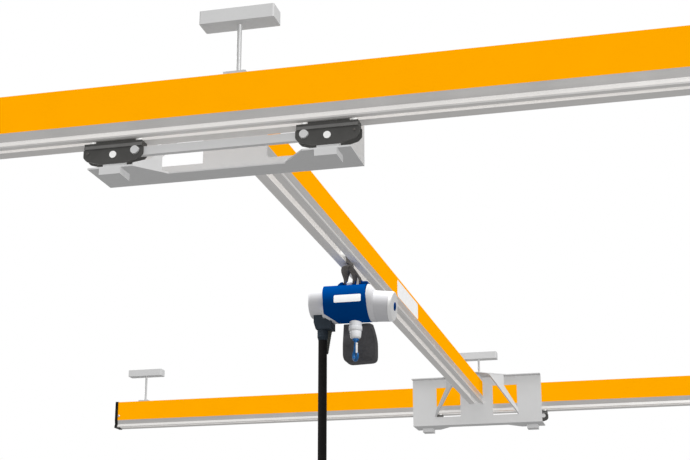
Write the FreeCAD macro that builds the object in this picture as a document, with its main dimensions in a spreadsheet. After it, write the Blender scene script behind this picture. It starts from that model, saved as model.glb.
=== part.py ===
"""Light overhead crane: two hung runway tracks, a single girder on two carriages and a chain hoist.

X runs along the runways, Y along the girder and Z up. The origin is the middle of the top face of
the front row's middle ceiling bracket. Sizes are millimetres and angles are degrees.
"""
import FreeCAD, Part
import math
import os
import Sketcher

Vector = FreeCAD.Vector
Rotation = FreeCAD.Rotation

# Driving sizes: alias, value, what it measures
DRIVING_SIZES = (
    ("runway_span", 5750, "from the front runway's axis to the rear one's"),
    ("hanger_pitch", 2610, "from one hanger to the next along a runway"),
    ("track_overhang", 205, "track beyond its outer hangers"),
    ("rear_row_shift", -60, "rear hanger row along X, from the front row"),
    ("bridge_rest", -60, "girder axis along X at rest"),
    ("hoist_rest", 1820, "hoist along Y at rest, from the front runway's axis"),
    ("bracket_length", 271, "ceiling bracket along X"),
    ("bracket_depth", 81, "ceiling bracket along Y"),
    ("bracket_height", 49, "ceiling bracket"),
    ("bracket_corner", 6, "rounded upright edges of a ceiling bracket"),
    ("hanger_drop", 200, "from a bracket's underside to the track's top"),
    ("rod_diameter", 16, "threaded hanger rod"),
    ("clamp_length", 80, "clamp plate along the track"),
    ("clamp_thickness", 8, "clamp plate on the track's top"),
    ("box_width", 94, "track over its coloured side faces"),
    ("lip_width", 100, "track over its bottom lips"),
    ("runway_face", 140, "coloured side face of a runway track"),
    ("girder_face", 105, "coloured side face of the girder"),
    ("foot_height", 56, "bare aluminium foot below the coloured face"),
    ("waist_inset", 7, "waist of the foot, in from the coloured face"),
    ("waist_drop", 31, "waist of the foot, below the coloured face"),
    ("lip_edge", 6, "upright outer edge of a bottom lip"),
    ("lip_rise", 6, "rise of a lip from its outer edge to the slot"),
    ("lip_thickness", 6, "bottom lip"),
    ("slot_width", 24, "slot between the lips"),
    ("track_wall", 5, "side and top walls of the track"),
    ("waist_wall", 4, "wall at the waist"),
    ("track_web", 6, "web over the running chamber"),
    ("chamber_rise", 15, "top of the running chamber above the coloured face's lower edge"),
    ("cap_thickness", 22, "end cap along the track"),
    ("cap_margin", 3, "end cap beyond the track's outline"),
    ("girder_lift", 4, "top of the girder above the runways' tops"),
    ("girder_block_half", 40, "half the width of the block between the girder and a top flange"),
    ("girder_block_depth", 115, "that block along the girder"),
    ("sheet", 6, "folded sheet of a carriage"),
    ("carriage_length", 928, "carriage along the runway"),
    ("carriage_offset", 160, "carriage plate's outer face from the runway axis"),
    ("plate_rise", 40, "carriage plate above the track's top"),
    ("keel_clearance", 16, "between a trolley's side plates and the carriage's bottom plate"),
    ("window_inner", 117, "window's inner edge from the girder axis"),
    ("window_outer", 292, "window's outer edge from the girder axis"),
    ("window_top", 27, "window's upper edge below the track's top"),
    ("window_bottom", 239, "window's lower edge below the track's top"),
    ("pad_beyond", 36, "bottom plate under the trolleys, beyond the runway axis"),
    ("strip_short", 68, "bottom plate between the pads, short of the runway axis"),
    ("pad_inner", 298, "inner end of a pad from the girder axis"),
    ("strip_half", 209, "half the length of the narrow strip"),
    ("rib_run", 111, "rib on one pad's slanted edge, along that edge"),
    ("rib_height", 72, "rib above the pad, at its inner end"),
    ("rib_knee_run", 68, "from the pad's corner to the rib's knee"),
    ("rib_knee", 36, "rib above the pad, at its knee"),
    ("rib_toe", 6, "rib above the pad, at the pad's corner"),
    ("flange_depth", 50, "top flange at the carriage's ends"),
    ("flange_inner", 236, "where the top flange starts to widen, from the girder axis"),
    ("console_depth", 136, "top flange over the girder's end"),
    ("console_half", 112, "half the length of the wide part of the top flange"),
    ("brace_foot", 295, "foot of a brace from the girder axis"),
    ("brace_reach", 105, "head of a brace from the girder axis"),
    ("brace_shift", 24, "front carriage's braces, further from the girder axis"),
    ("brace_depth", 130, "head of a brace from the carriage plate"),
    ("brace_low", 239, "lower end of a brace's foot below the track's top"),
    ("brace_high", 200, "upper end of a brace's foot below the track's top"),
    ("weld_gap", 0.3, "between a brace's foot and the carriage plate"),
    ("gusset_run", 108, "from the foot to the gusset's outer edge, along the brace"),
    ("gusset_low", 42, "lower corner of the gusset below the track's top"),
    ("trolley_offset", 380, "trolley's load pin from the girder axis"),
    ("trolley_clearance", 5, "between a runway's lips and a trolley's deck"),
    ("pin_diameter", 25, "load pin's bore"),
    ("pin_proud", 3, "load pin beyond the trolley's side plates"),
    ("trolley_half", 110, "half the length of a trolley"),
    ("deck_top", 44, "trolley deck's top above the load pin"),
    ("deck_low", 23, "trolley deck's underside above the load pin"),
    ("deck_width", 46, "trolley deck over its rims"),
    ("plates_width", 40, "trolley over its side plates"),
    ("plate_thickness", 6, "trolley side plate"),
    ("deck_short", 4, "trolley deck short of the side plates, at each end"),
    ("shoulder_drop", 4, "end corner of a side plate below the load pin"),
    ("taper_half", 98, "half the length of a side plate where its bottom taper starts"),
    ("taper_drop", 18, "that corner below the load pin"),
    ("keel_half", 50, "half the length of a side plate's flat bottom"),
    ("keel_drop", 32, "flat bottom of a side plate below the load pin"),
    ("plate_round", 14, "rounded lower corners of a side plate"),
    ("end_hole_offset", 80, "end hole of a side plate from the load pin"),
    ("end_hole_rise", 10, "end hole above the load pin"),
    ("end_hole_diameter", 32, "end hole"),
    ("neck_thickness", 10, "trolley neck in the slot"),
    ("neck_half", 72, "half the length of a carriage trolley's neck"),
    ("axle_offset", 52, "wheel axle from the load pin, along the track"),
    ("axle_diameter", 12, "wheel axle's bore"),
    ("axle_clearance", 0.05, "between an axle or pin and its bore, on the radius"),
    ("wheel_inner", 13, "inner side of a wheel from the track's middle"),
    ("wheel_clearance", 5, "between a wheel's outer side and the track's waist"),
    ("wheel_radius", 22, "wheel at its inner side"),
    ("hub_radius", 9, "wheel hub"),
    ("running_gap", 0.3, "between a wheel and the lip it runs on"),
    ("neck_crown", 14, "neck above its axles"),
    ("roller_offset", 87, "guide roller from the load pin, along the track"),
    ("roller_clearance", 3, "between a guide roller and the slot's edge"),
    ("roller_height", 17, "guide roller"),
    ("link_width", 20, "link bar between two trolleys, across"),
    ("link_height", 30, "link bar, upright"),
    ("link_half", 318, "half the length of a link bar"),
    ("hanger_half", 38, "half the length of a trolley's hanger block"),
    ("hanger_gap", 0.5, "between a hanger block and a side plate"),
    ("hanger_rise", 17, "hanger block above the load pin"),
    ("saddle_depth", 86, "saddle under the bottom plate, across the track"),
    ("saddle_height", 25, "saddle below the bottom plate"),
    ("hoist_axle_offset", 34, "hoist trolley's axle from its middle"),
    ("hoist_neck_half", 52, "half the length of the hoist trolley's neck"),
    ("tongue_clearance", 6, "between the girder's lips and the hoist trolley's tongue"),
    ("yoke_pin_diameter", 12, "yoke pin"),
    ("yoke_pin_play", 0.3, "between the yoke pin and the trolley's tongue, on the radius"),
    ("yoke_thickness", 8, "yoke plate"),
    ("yoke_gap", 1, "between the hoist trolley's neck and a yoke plate"),
    ("yoke_crown", 11, "yoke plate above its pin"),
    ("yoke_crown_half", 16, "half the length of a yoke plate's top"),
    ("tongue_rise", 13, "hoist trolley's tongue above the yoke pin"),
    ("lug_drop", 68, "lug pins below the yoke pin"),
    ("lug_half", 13, "half the depth of a lug, across the hoist"),
    ("left_leg", 19, "left yoke leg from the yoke pin"),
    ("middle_leg", 22, "middle yoke leg from the yoke pin"),
    ("right_leg", 52, "right yoke leg from the yoke pin"),
    ("leg_end", 12, "yoke leg below its lug pin"),
    ("leg_half", 6, "half the width of a yoke leg's end"),
    ("knee_drop", 52, "where a yoke leg turns straight down, below the yoke pin"),
    ("arch_drop", 1, "top of the yoke's wide arch below its pin"),
    ("side_arch_drop", 22, "top of the yoke's narrow arch below its pin"),
    ("yoke_bulge", 39, "left shoulder of the yoke from its pin"),
    ("bulge_drop", 20, "lower end of that shoulder below the pin"),
    ("yoke_round", 4, "rounded corners of a yoke plate"),
    ("lug_pin_diameter", 6, "lug pin"),
    ("hoist_tilt", 0.5, "tilt of the unloaded hoist on its yoke pin"),
    ("leg_gap", 1, "between a yoke leg and the hoist's middle housing"),
    ("body_radius", 88, "hoist's middle housing"),
    ("body_left", 104, "left end of the middle housing from the yoke pin"),
    ("body_right", 97, "right end of the middle housing from the yoke pin"),
    ("body_notch", 54, "slanted lower left corner of the middle housing, along the hoist"),
    ("body_notch_drop", 57, "start of that corner below the hoist axis"),
    ("body_flare", 5, "lower edge of the middle housing's right end beyond that end"),
    ("body_lean", 12, "upper edge of the middle housing's ends, further left"),
    ("cover_radius", 74, "end covers of the hoist"),
    ("cover_taper", 6, "right cover's end inside its start, on the radius"),
    ("cover_lap", 8, "covers into the middle housing, and the left cover's foot into its cover"),
    ("cover_foot", 12, "left cover's foot under the middle housing's slanted corner, upright"),
    ("left_length", 76, "left cover"),
    ("left_rise", 13, "left cover's axis above the hoist axis"),
    ("right_length", 115, "right cover"),
    ("right_drop", 6, "right cover's axis below the hoist axis, under the yoke pin"),
    ("right_tilt", 4.5, "slope of the right cover, down to its end"),
    ("right_start", 24, "right cover's start inside the middle housing's right end"),
    ("cover_round", 10, "rounded rim of the left cover"),
    ("rim_round", 8, "rounded rim of the right cover"),
    ("hook_offset", 27, "hook line from the yoke pin, along the hoist"),
    ("sleeve_radius", 31, "hook sleeve"),
    ("sleeve_height", 76, "hook sleeve below the middle housing"),
    ("sleeve_taper", 6, "hook sleeve's lower end inside its upper end, on the radius"),
    ("shank_diameter", 18, "hook shank's bore"),
    ("shank_depth", 32, "shank inside the sleeve"),
    ("shank_end_gap", 4, "over the shank in the sleeve"),
    ("hook_drop", 76, "middle of the hook's bowl below the sleeve"),
    ("hook_inner", 14, "inner radius of the hook's bowl"),
    ("hook_section", 7, "radius of the hook's bow at its ends"),
    ("hook_swell", 1.5, "thickening of the bow at its lowest point, on the radius"),
    ("hook_tip", 3.5, "radius of the hook's tip"),
    ("neck_straight", 8.4, "straight length at the head of the hook's neck"),
    ("hook_start", 130, "start of the bow, from the throat's side"),
    ("hook_turn", 250, "turn of the bow"),
    ("hook_facing", 51, "turn of the hook at rest, its mouth from the hoist's right to its front"),
    ("collar_radius", 14, "hook collar under the sleeve"),
    ("collar_height", 9, "hook collar"),
    ("collar_gap", 1, "between the sleeve and the collar"),
    ("latch_width", 9, "hook latch across"),
    ("latch_thickness", 3, "hook latch"),
    ("latch_gap", 0, "latch barrel from the hook neck's nominal side"),
    ("latch_barrel", 4, "radius of the latch's barrel"),
    ("latch_rise", 52, "latch barrel above the middle of the bowl"),
    ("latch_low", 8, "lower end of the latch above the middle of the bowl"),
    ("bag_length", 150, "chain bag along X"),
    ("bag_depth", 88, "chain bag along Y"),
    ("bag_height", 184, "chain bag"),
    ("bag_offset", 30, "middle of the chain bag from the yoke pin, along X"),
    ("bag_clearance", 9, "between the hook sleeve and the chain bag"),
    ("bag_drop", 71, "top of the chain bag below the hoist axis"),
    ("bag_round", 26, "rounded lower corners of the chain bag"),
    ("seat_gap", 0.6, "between a curved housing and what is seated on it"),
    ("cable_offset", 128, "control cable from the yoke pin, to the left"),
    ("cable_diameter", 40, "sheathed control cable"),
    ("cable_length", 1430, "control cable below its socket"),
    ("socket_left", 34, "socket block from the cable, to the left"),
    ("socket_right", 50, "socket block from the cable, to the right"),
    ("socket_depth", 72, "socket block along Y"),
    ("socket_low_left", 85, "socket block's lower left corner below the hoist axis"),
    ("socket_low_right", 117, "socket block's lower right corner below the hoist axis"),
    ("socket_radius", 24, "cable socket under its block"),
    ("socket_waist", 150, "where the cable socket narrows, below the hoist axis"),
    ("socket_drop", 164, "lower end of the cable socket below the hoist axis"),
    ("relief_offset", 94, "side strain relief from the yoke pin, to the left"),
    ("relief_back", 18, "side strain relief behind the cable"),
    ("relief_radius", 13.5, "side strain relief at its upper end"),
    ("relief_end_radius", 7, "side strain relief at its lower end"),
    ("relief_drop", 223, "lower end of the side strain relief below the hoist axis"),
    ("pendant_width", 70, "control pendant along X"),
    ("pendant_depth", 52, "control pendant along Y"),
    ("pendant_height", 190, "control pendant"),
    ("pendant_round", 14, "rounded upright edges of the pendant"),
)


class Size:
    """A length with the sheet formula that gives it."""

    def __init__(self, value, formula):
        self.value = value
        self.formula = formula

    def __add__(self, other):
        other = as_size(other)
        return Size(self.value + other.value, f"({self.formula} + {other.formula})")

    def __sub__(self, other):
        other = as_size(other)
        return Size(self.value - other.value, f"({self.formula} - {other.formula})")

    def __mul__(self, other):
        other = as_size(other)
        return Size(self.value * other.value, f"({self.formula} * {other.formula})")

    def __truediv__(self, other):
        other = as_size(other)
        return Size(self.value / other.value, f"({self.formula} / {other.formula})")

    def __neg__(self):
        return Size(-self.value, f"(0 - {self.formula})")


def as_size(number):
    """A Size, or a plain number made one."""
    if isinstance(number, Size):
        return number
    return Size(float(number), f"({float(number)!r})")


doc = FreeCAD.newDocument("overhead_crane")
sheet = doc.addObject("Spreadsheet::Sheet", "sizes")
for row, (alias, value, meaning) in enumerate(DRIVING_SIZES, start=1):
    sheet.set(f"A{row}", meaning)
    sheet.set(f"B{row}", str(value))
    sheet.setAlias(f"B{row}", alias)
doc.recompute()
size = {alias: Size(float(value), f"sizes.{alias}") for alias, value, _ in DRIVING_SIZES}
ZERO = as_size(0)

nodes = []


def node(thing, label):
    """Name a finished sub-part and keep it for the hand-over."""
    thing.Label = label
    nodes.append(thing)
    return thing


def bind(thing, path, length):
    """Tie one property of an object to the sheet."""
    thing.setExpression(path, as_size(length).formula)


def place(thing, x, y, z, axis=None, angle=None):
    """Tie an object's place, and its turn about one axis, to the sheet."""
    if axis is not None:
        turn = as_size(angle)
        thing.Placement = FreeCAD.Placement(Vector(), Rotation(axis, turn.value))
        if "sizes." in turn.formula:
            bind(thing, "Placement.Rotation.Angle", turn)
    for letter, length in zip("xyz", (x, y, z)):
        bind(thing, f"Placement.Base.{letter}", length)
    return thing


def box(name, x, y, z):
    """A block between two sizes along each axis."""
    block = doc.addObject("Part::Box", name)
    for path, (low, high) in zip(("Length", "Width", "Height"), (x, y, z)):
        bind(block, path, as_size(high) - low)
    return place(block, x[0], y[0], z[0])


AXIS_TURNS = {"X": (Vector(0, 1, 0), 90), "Y": (Vector(1, 0, 0), -90), "Z": (None, None)}


def cylinder(name, radius, height, x, y, z, along="Z"):
    """A round bar that starts at a point and runs along one axis."""
    bar = doc.addObject("Part::Cylinder", name)
    bind(bar, "Radius", radius)
    bind(bar, "Height", height)
    return place(bar, x, y, z, *AXIS_TURNS[along])


def cone(name, radius, end_radius, height, x, y, z, along="Z"):
    """A tapered round bar that starts at a point and runs along one axis."""
    bar = doc.addObject("Part::Cone", name)
    bind(bar, "Radius1", radius)
    bind(bar, "Radius2", end_radius)
    bind(bar, "Height", height)
    return place(bar, x, y, z, *AXIS_TURNS[along])


def fuse(name, pieces):
    """Several pieces grown into one."""
    whole = doc.addObject("Part::MultiFuse", name)
    whole.Shapes = pieces
    whole.Refine = True
    return whole


def cut(name, base, tools):
    """A piece with others taken out of it."""
    result = doc.addObject("Part::Cut", name)
    result.Base = base
    result.Tool = tools[0] if len(tools) == 1 else fuse(f"{name}_tools", tools)
    result.Refine = True
    return result


def together(name, pieces):
    """Separate like pieces under one name."""
    group = doc.addObject("Part::Compound", name)
    group.Links = pieces
    return group


def sketch_on(body, role, loops, holes=()):
    """A closed outline, with inner loops and round holes, on one of a body's own planes."""
    sketch = body.newObject("Sketcher::SketchObject", f"{body.Name}_outline")
    plane = next(p for p in body.Origin.OriginFeatures if p.Role == role)
    sketch.AttachmentSupport = [(plane, "")]
    sketch.MapMode = "FlatFace"

    def pin_point(geometry, position, u, v):
        for kind, length, axis in (("DistanceX", u, -2), ("DistanceY", v, -1)):
            length = as_size(length)
            if length is ZERO:
                sketch.addConstraint(Sketcher.Constraint("PointOnObject", geometry, position, axis))
                continue
            mark = sketch.addConstraint(
                Sketcher.Constraint(kind, -1, 1, geometry, position, length.value)
            )
            sketch.setExpression(f"Constraints[{mark}]", length.formula)

    for loop in loops:
        corners = [Vector(as_size(u).value, as_size(v).value, 0) for u, v in loop]
        first = sketch.GeometryCount
        for start, end in zip(corners, corners[1:] + corners[:1]):
            sketch.addGeometry(Part.LineSegment(start, end))
        for i in range(len(loop)):
            after = first + (i + 1) % len(loop)
            sketch.addConstraint(Sketcher.Constraint("Coincident", first + i, 2, after, 1))
        for i, (u, v) in enumerate(loop):
            pin_point(first + i, 1, u, v)
    for u, v, diameter in holes:
        centre = Vector(as_size(u).value, as_size(v).value, 0)
        radius = as_size(diameter).value / 2
        ring = sketch.addGeometry(Part.Circle(centre, Vector(0, 0, 1), radius))
        pin_point(ring, 3, u, v)
        mark = sketch.addConstraint(Sketcher.Constraint("Diameter", ring, 2 * radius))
        sketch.setExpression(f"Constraints[{mark}]", as_size(diameter).formula)
    return sketch


def pad(name, role, loops, length, holes=(), reverse=False, base=None, lift=None):
    """A plate or bar pushed out of an outline, on a body of its own or on one that is given."""
    body = base or doc.addObject("PartDesign::Body", name)
    sketch = sketch_on(body, role, loops, holes)
    if lift is not None:
        bind(sketch, ".AttachmentOffset.Base.z", lift)
    feature = body.newObject("PartDesign::Pad", f"{body.Name}_pad")
    feature.Profile = sketch
    bind(feature, "Length", length)
    feature.Reversed = reverse
    body.Tip = feature
    return body


def revolve(name, loop):
    """A turned piece: an outline in the XZ plane spun about the body's X axis."""
    body = doc.addObject("PartDesign::Body", name)
    sketch = sketch_on(body, "XZ_Plane", [loop])
    feature = body.newObject("PartDesign::Revolution", f"{name}_turned")
    feature.Profile = sketch
    feature.ReferenceAxis = (sketch, ["H_Axis"])
    feature.Angle = 360
    body.Tip = feature
    return body


def round_edges(body, radius, wanted):
    """Round the edges of a body's last feature that a test picks by their middle point."""
    doc.recompute()
    base = body.Tip
    names = []
    for number, edge in enumerate(base.Shape.Edges, start=1):
        middle = edge.valueAt((edge.FirstParameter + edge.LastParameter) / 2)
        if wanted(edge, middle):
            names.append(f"Edge{number}")
    if not names:
        raise RuntimeError(f"{body.Name}: no edge to round")
    feature = body.newObject("PartDesign::Fillet", f"{body.Name}_round")
    feature.Base = (base, names)
    bind(feature, "Radius", radius)
    body.Tip = feature
    return body


def runs_along(edge, direction):
    """Whether an edge is straight and lies along a direction."""
    straight = isinstance(edge.Curve, Part.Line)
    return straight and abs(edge.tangentAt(edge.FirstParameter).dot(direction)) > 0.999


def mirrored(points):
    """A right-hand half outline, from top to bottom, closed by its mirror image."""
    return points + [(-u, v) for u, v in reversed(points)]


# Levels and places that many pieces share
track_top = -(size["bracket_height"] + size["hanger_drop"])
runway_depth = size["runway_face"] + size["foot_height"]
girder_depth = size["girder_face"] + size["foot_height"]
track_half = size["hanger_pitch"] + size["track_overhang"]
girder_top = track_top + size["girder_lift"]
rows = {"front": (ZERO, ZERO), "rear": (size["rear_row_shift"], size["runway_span"])}
lip_slope = size["lip_rise"] / ((size["lip_width"] - size["slot_width"]) / 2)
waist_half = size["box_width"] / 2 - size["waist_inset"] - size["waist_wall"]
wheel_outer = waist_half - size["wheel_clearance"]
pin_drop = runway_depth + size["trolley_clearance"] + size["deck_top"]
plate_drop = pin_drop + size["keel_drop"] + size["keel_clearance"] + size["sheet"]
pad_depth = size["carriage_offset"] + size["pad_beyond"]
strip_depth = size["carriage_offset"] - size["strip_short"]
bag_front = size["sleeve_radius"] + size["bag_clearance"]
hoist_drop = size["lug_drop"] + size["leg_end"] + size["leg_gap"] + size["body_radius"]
rib_spread = size["pad_inner"] - size["strip_half"]
rib_reach = pad_depth - strip_depth
rib_angle = Size(
    math.degrees(math.atan2(rib_reach.value, rib_spread.value)),
    f"(atan({rib_reach.formula} / {rib_spread.formula}) / 1 deg)",
)
brace_spread = size["brace_foot"] - size["brace_reach"]
brace_angle = Size(
    math.degrees(math.atan2(size["brace_depth"].value, brace_spread.value)),
    f"(atan({size['brace_depth'].formula} / {brace_spread.formula}) / 1 deg)",
)
brace_run = Size(
    math.hypot(size["brace_depth"].value, brace_spread.value),
    f"(({size['brace_depth'].formula}) ^ 2 + ({brace_spread.formula}) ^ 2) ^ 0.5",
)


def track(label, face, length):
    """A hollow aluminium track: box above, running chamber and slot below, along the body's X."""
    half = size["box_width"] / 2
    lip = size["lip_width"] / 2
    slot = size["slot_width"] / 2
    bottom = -(face + size["foot_height"])
    waist = half - size["waist_inset"]
    inner_waist = waist_half
    inner_half = half - size["track_wall"]
    running = bottom + size["lip_rise"] + size["lip_thickness"]
    outer = [
        (half, ZERO),
        (half, -face),
        (waist, -face - size["waist_drop"]),
        (lip, bottom + size["lip_edge"]),
        (lip, bottom),
        (slot, bottom + size["lip_rise"]),
        (slot, running),
        (inner_waist, running - lip_slope * (inner_waist - slot)),
        (inner_waist, -face - size["waist_drop"]),
        (inner_half, -face - size["track_wall"]),
        (inner_half, -face + size["chamber_rise"]),
    ]
    hollow_low = -face + size["chamber_rise"] + size["track_web"]
    hollow = [(inner_half, -size["track_wall"]), (inner_half, hollow_low)]
    return node(pad(label, "YZ_Plane", [mirrored(outer), mirrored(hollow)], length), label)


def end_cap(name, face):
    """A closed moulded cap, a little larger than the track's end."""
    half = size["box_width"] / 2 + size["cap_margin"]
    lip = size["lip_width"] / 2 + size["cap_margin"]
    bottom = -(face + size["foot_height"])
    outline = [
        (half, size["cap_margin"]),
        (half, -face),
        (half - size["waist_inset"], -face - size["waist_drop"]),
        (lip, bottom + size["lip_edge"]),
        (lip, bottom - size["cap_margin"]),
    ]
    return pad(name, "YZ_Plane", [mirrored(outline)], size["cap_thickness"])


def bracket(name, x, y):
    """A ceiling bracket: a closed steel box with rounded upright edges."""
    half_length = size["bracket_length"] / 2
    half_depth = size["bracket_depth"] / 2
    outline = [
        (half_length, half_depth),
        (half_length, -half_depth),
        (-half_length, -half_depth),
        (-half_length, half_depth),
    ]
    body = pad(name, "XY_Plane", [outline], size["bracket_height"])
    round_edges(body, size["bracket_corner"], lambda e, m: runs_along(e, Vector(0, 0, 1)))
    return place(body, x, y, -size["bracket_height"])


def runway(row):
    """One runway: its track, end caps, hanger rods, clamp plates and ceiling brackets."""
    shift, y = rows[row]
    label = f"{row}_runway_track"
    place(track(label, size["runway_face"], track_half * 2), shift - track_half, y, track_top)
    caps = []
    for side, x in (("left", -track_half - size["cap_thickness"]), ("right", track_half)):
        cap = end_cap(f"{row}_{side}_cap", size["runway_face"])
        caps.append(place(cap, shift + x, y, track_top))
    node(together(f"{row}_caps", caps), f"{row}_end_caps")
    rods = []
    clamps = []
    brackets = {}
    clamp_top = track_top + size["clamp_thickness"]
    for spot, step in (("left", -1), ("middle", 0), ("right", 1)):
        x = shift + size["hanger_pitch"] * step
        rod_length = size["hanger_drop"] - size["clamp_thickness"]
        rods.append(
            cylinder(f"{row}_{spot}_rod", size["rod_diameter"] / 2, rod_length, x, y, clamp_top)
        )
        half = size["clamp_length"] / 2
        width = size["box_width"] / 2
        clamps.append(
            box(
                f"{row}_{spot}_clamp",
                (x - half, x + half),
                (y - width, y + width),
                (track_top, clamp_top),
            )
        )
        brackets[spot] = bracket(f"{row}_{spot}_bracket", x, y)
    node(together(f"{row}_rods", rods), f"{row}_hanger_rods")
    node(together(f"{row}_clamps", clamps), f"{row}_track_clamps")
    node(brackets["middle"], f"{row}_middle_bracket")
    outer = [brackets["left"], brackets["right"]]
    node(together(f"{row}_outer", outer), f"{row}_outer_brackets")


def carriage_frame(row):
    """A carriage's folded sheet: plate with two windows, top flange and bottom plate with pads."""
    half = size["carriage_length"] / 2
    top = size["plate_rise"]
    low = -plate_drop
    sheet_size = size["sheet"]
    label = f"{row}_carriage_frame"
    outline = [(half, top), (half, low), (-half, low), (-half, top)]
    windows = []
    for side in (1, -1):
        inner = size["window_inner"] * side
        outer = size["window_outer"] * side
        windows.append(
            [
                (inner, -size["window_top"]),
                (outer, -size["window_top"]),
                (outer, -size["window_bottom"]),
                (inner, -size["window_bottom"]),
            ]
        )
    body = pad(f"{label}_sheet", "XZ_Plane", [outline, *windows], sheet_size, reverse=True)
    flange = [
        (half, sheet_size),
        (half, -size["flange_depth"]),
        (size["flange_inner"], -size["flange_depth"]),
        (size["console_half"], -size["console_depth"]),
    ]
    pad(label, "XY_Plane", [mirrored(flange)], sheet_size, base=body, lift=top - sheet_size)
    bottom = [
        (half, ZERO),
        (half, pad_depth),
        (size["pad_inner"], pad_depth),
        (size["strip_half"], strip_depth),
    ]
    pad(label, "XY_Plane", [mirrored(bottom)], sheet_size, base=body, lift=low)
    rib = [
        (ZERO, sheet_size / 2),
        (-size["rib_run"], sheet_size / 2),
        (-size["rib_run"], sheet_size + size["rib_height"]),
        (-size["rib_knee_run"], sheet_size + size["rib_knee"]),
        (ZERO, sheet_size + size["rib_toe"]),
    ]
    plate = pad(f"{label}_rib", "XZ_Plane", [rib], sheet_size)
    place(plate, size["pad_inner"], pad_depth, low, Vector(0, 0, 1), rib_angle)
    return node(fuse(f"{label}_whole", [body, plate]), label)


def brace(name, side):
    """A flat brace under the top flange: a gusset at its head, tapering down to its foot."""
    top = size["plate_rise"] - size["sheet"]
    outline = [
        (ZERO, -size["brace_low"]),
        (ZERO, -size["brace_high"]),
        (size["gusset_run"], -size["gusset_low"]),
        (size["gusset_run"], top),
        (brace_run, top),
    ]
    if side > 0:
        outline = [(-u, v) for u, v in outline]
    return pad(name, "XZ_Plane", [outline], size["sheet"])


def wheel_set(name, x, y, z, along):
    """An axle with two tapered wheels that run on the sloping lips, across the track."""
    radius = size["axle_diameter"] / 2 - size["axle_clearance"]
    outer_radius = size["wheel_radius"] + lip_slope * (wheel_outer - size["wheel_inner"])
    tread = wheel_outer - size["wheel_inner"]
    hub_start = size["neck_thickness"] / 2 + size["running_gap"]
    half = [
        (ZERO, ZERO),
        (ZERO, radius),
        (hub_start, radius),
        (hub_start, size["hub_radius"]),
        (size["wheel_inner"], size["hub_radius"]),
        (size["wheel_inner"], size["wheel_radius"]),
        (size["wheel_inner"] + tread, outer_radius),
        (wheel_outer, ZERO),
    ]
    outline = half[1:] + [(-u, v) for u, v in reversed(half[2:])]
    turned = revolve(name, outline)
    if along == "X":
        return place(turned, x, y, z, Vector(0, 0, 1), 90)
    return place(turned, x, y, z)


def axle_height(bottom):
    """Level of the axles whose wheels stand on the lips of a track with this bottom."""
    lip = bottom + size["lip_rise"] + size["lip_thickness"]
    under_wheel = lip - lip_slope * (size["wheel_inner"] - size["slot_width"] / 2)
    return under_wheel + size["running_gap"] + size["wheel_radius"]


runway_axle = axle_height(track_top - runway_depth)
girder_axle = axle_height(girder_top - girder_depth)


def trolley_frame(label, x, y, hole_side):
    """A carriage trolley: two shaped side plates under a deck, with a neck up into the track."""
    pin_level = track_top - pin_drop
    deck_half = size["trolley_half"] - size["deck_short"]
    plates = []
    for face in (1, -1):
        end_hole = (
            size["end_hole_offset"] * (hole_side * face),
            size["end_hole_rise"],
            size["end_hole_diameter"],
        )
        outline = [
            (deck_half, size["deck_top"] - size["plate_thickness"]),
            (deck_half, size["deck_low"]),
            (size["trolley_half"], size["deck_low"]),
            (size["trolley_half"], -size["shoulder_drop"]),
            (size["taper_half"], -size["taper_drop"]),
            (size["keel_half"], -size["keel_drop"]),
        ]
        plate = pad(
            f"{label}_{'near' if face > 0 else 'far'}_plate",
            "XZ_Plane",
            [mirrored(outline)],
            size["plate_thickness"],
            holes=[(ZERO, ZERO, size["pin_diameter"]), end_hole],
        )
        deck_low = size["deck_low"].value
        round_edges(
            plate,
            size["plate_round"],
            lambda e, m: runs_along(e, Vector(0, 1, 0)) and m.z < deck_low - 5,
        )
        across = size["plates_width"] / 2
        near = y - across + size["plate_thickness"]
        far = y + across
        plates.append(place(plate, x, near if face > 0 else far, pin_level))
    deck = box(
        f"{label}_deck",
        (x - deck_half, x + deck_half),
        (y - size["deck_width"] / 2, y + size["deck_width"] / 2),
        (pin_level + size["deck_low"], pin_level + size["deck_top"]),
    )
    neck = box(
        f"{label}_neck",
        (x - size["neck_half"], x + size["neck_half"]),
        (y - size["neck_thickness"] / 2, y + size["neck_thickness"] / 2),
        (pin_level + size["deck_top"], runway_axle + size["neck_crown"]),
    )
    bores = [
        cylinder(
            f"{label}_bore_{number}",
            size["axle_diameter"] / 2,
            size["deck_width"],
            x + size["axle_offset"] * step,
            y - size["deck_width"] / 2,
            runway_axle,
            "Y",
        )
        for number, step in enumerate((-1, 1))
    ]
    frame = cut(f"{label}_cut", fuse(f"{label}_blank", [*plates, deck, neck]), bores)
    return node(frame, label)


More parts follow.
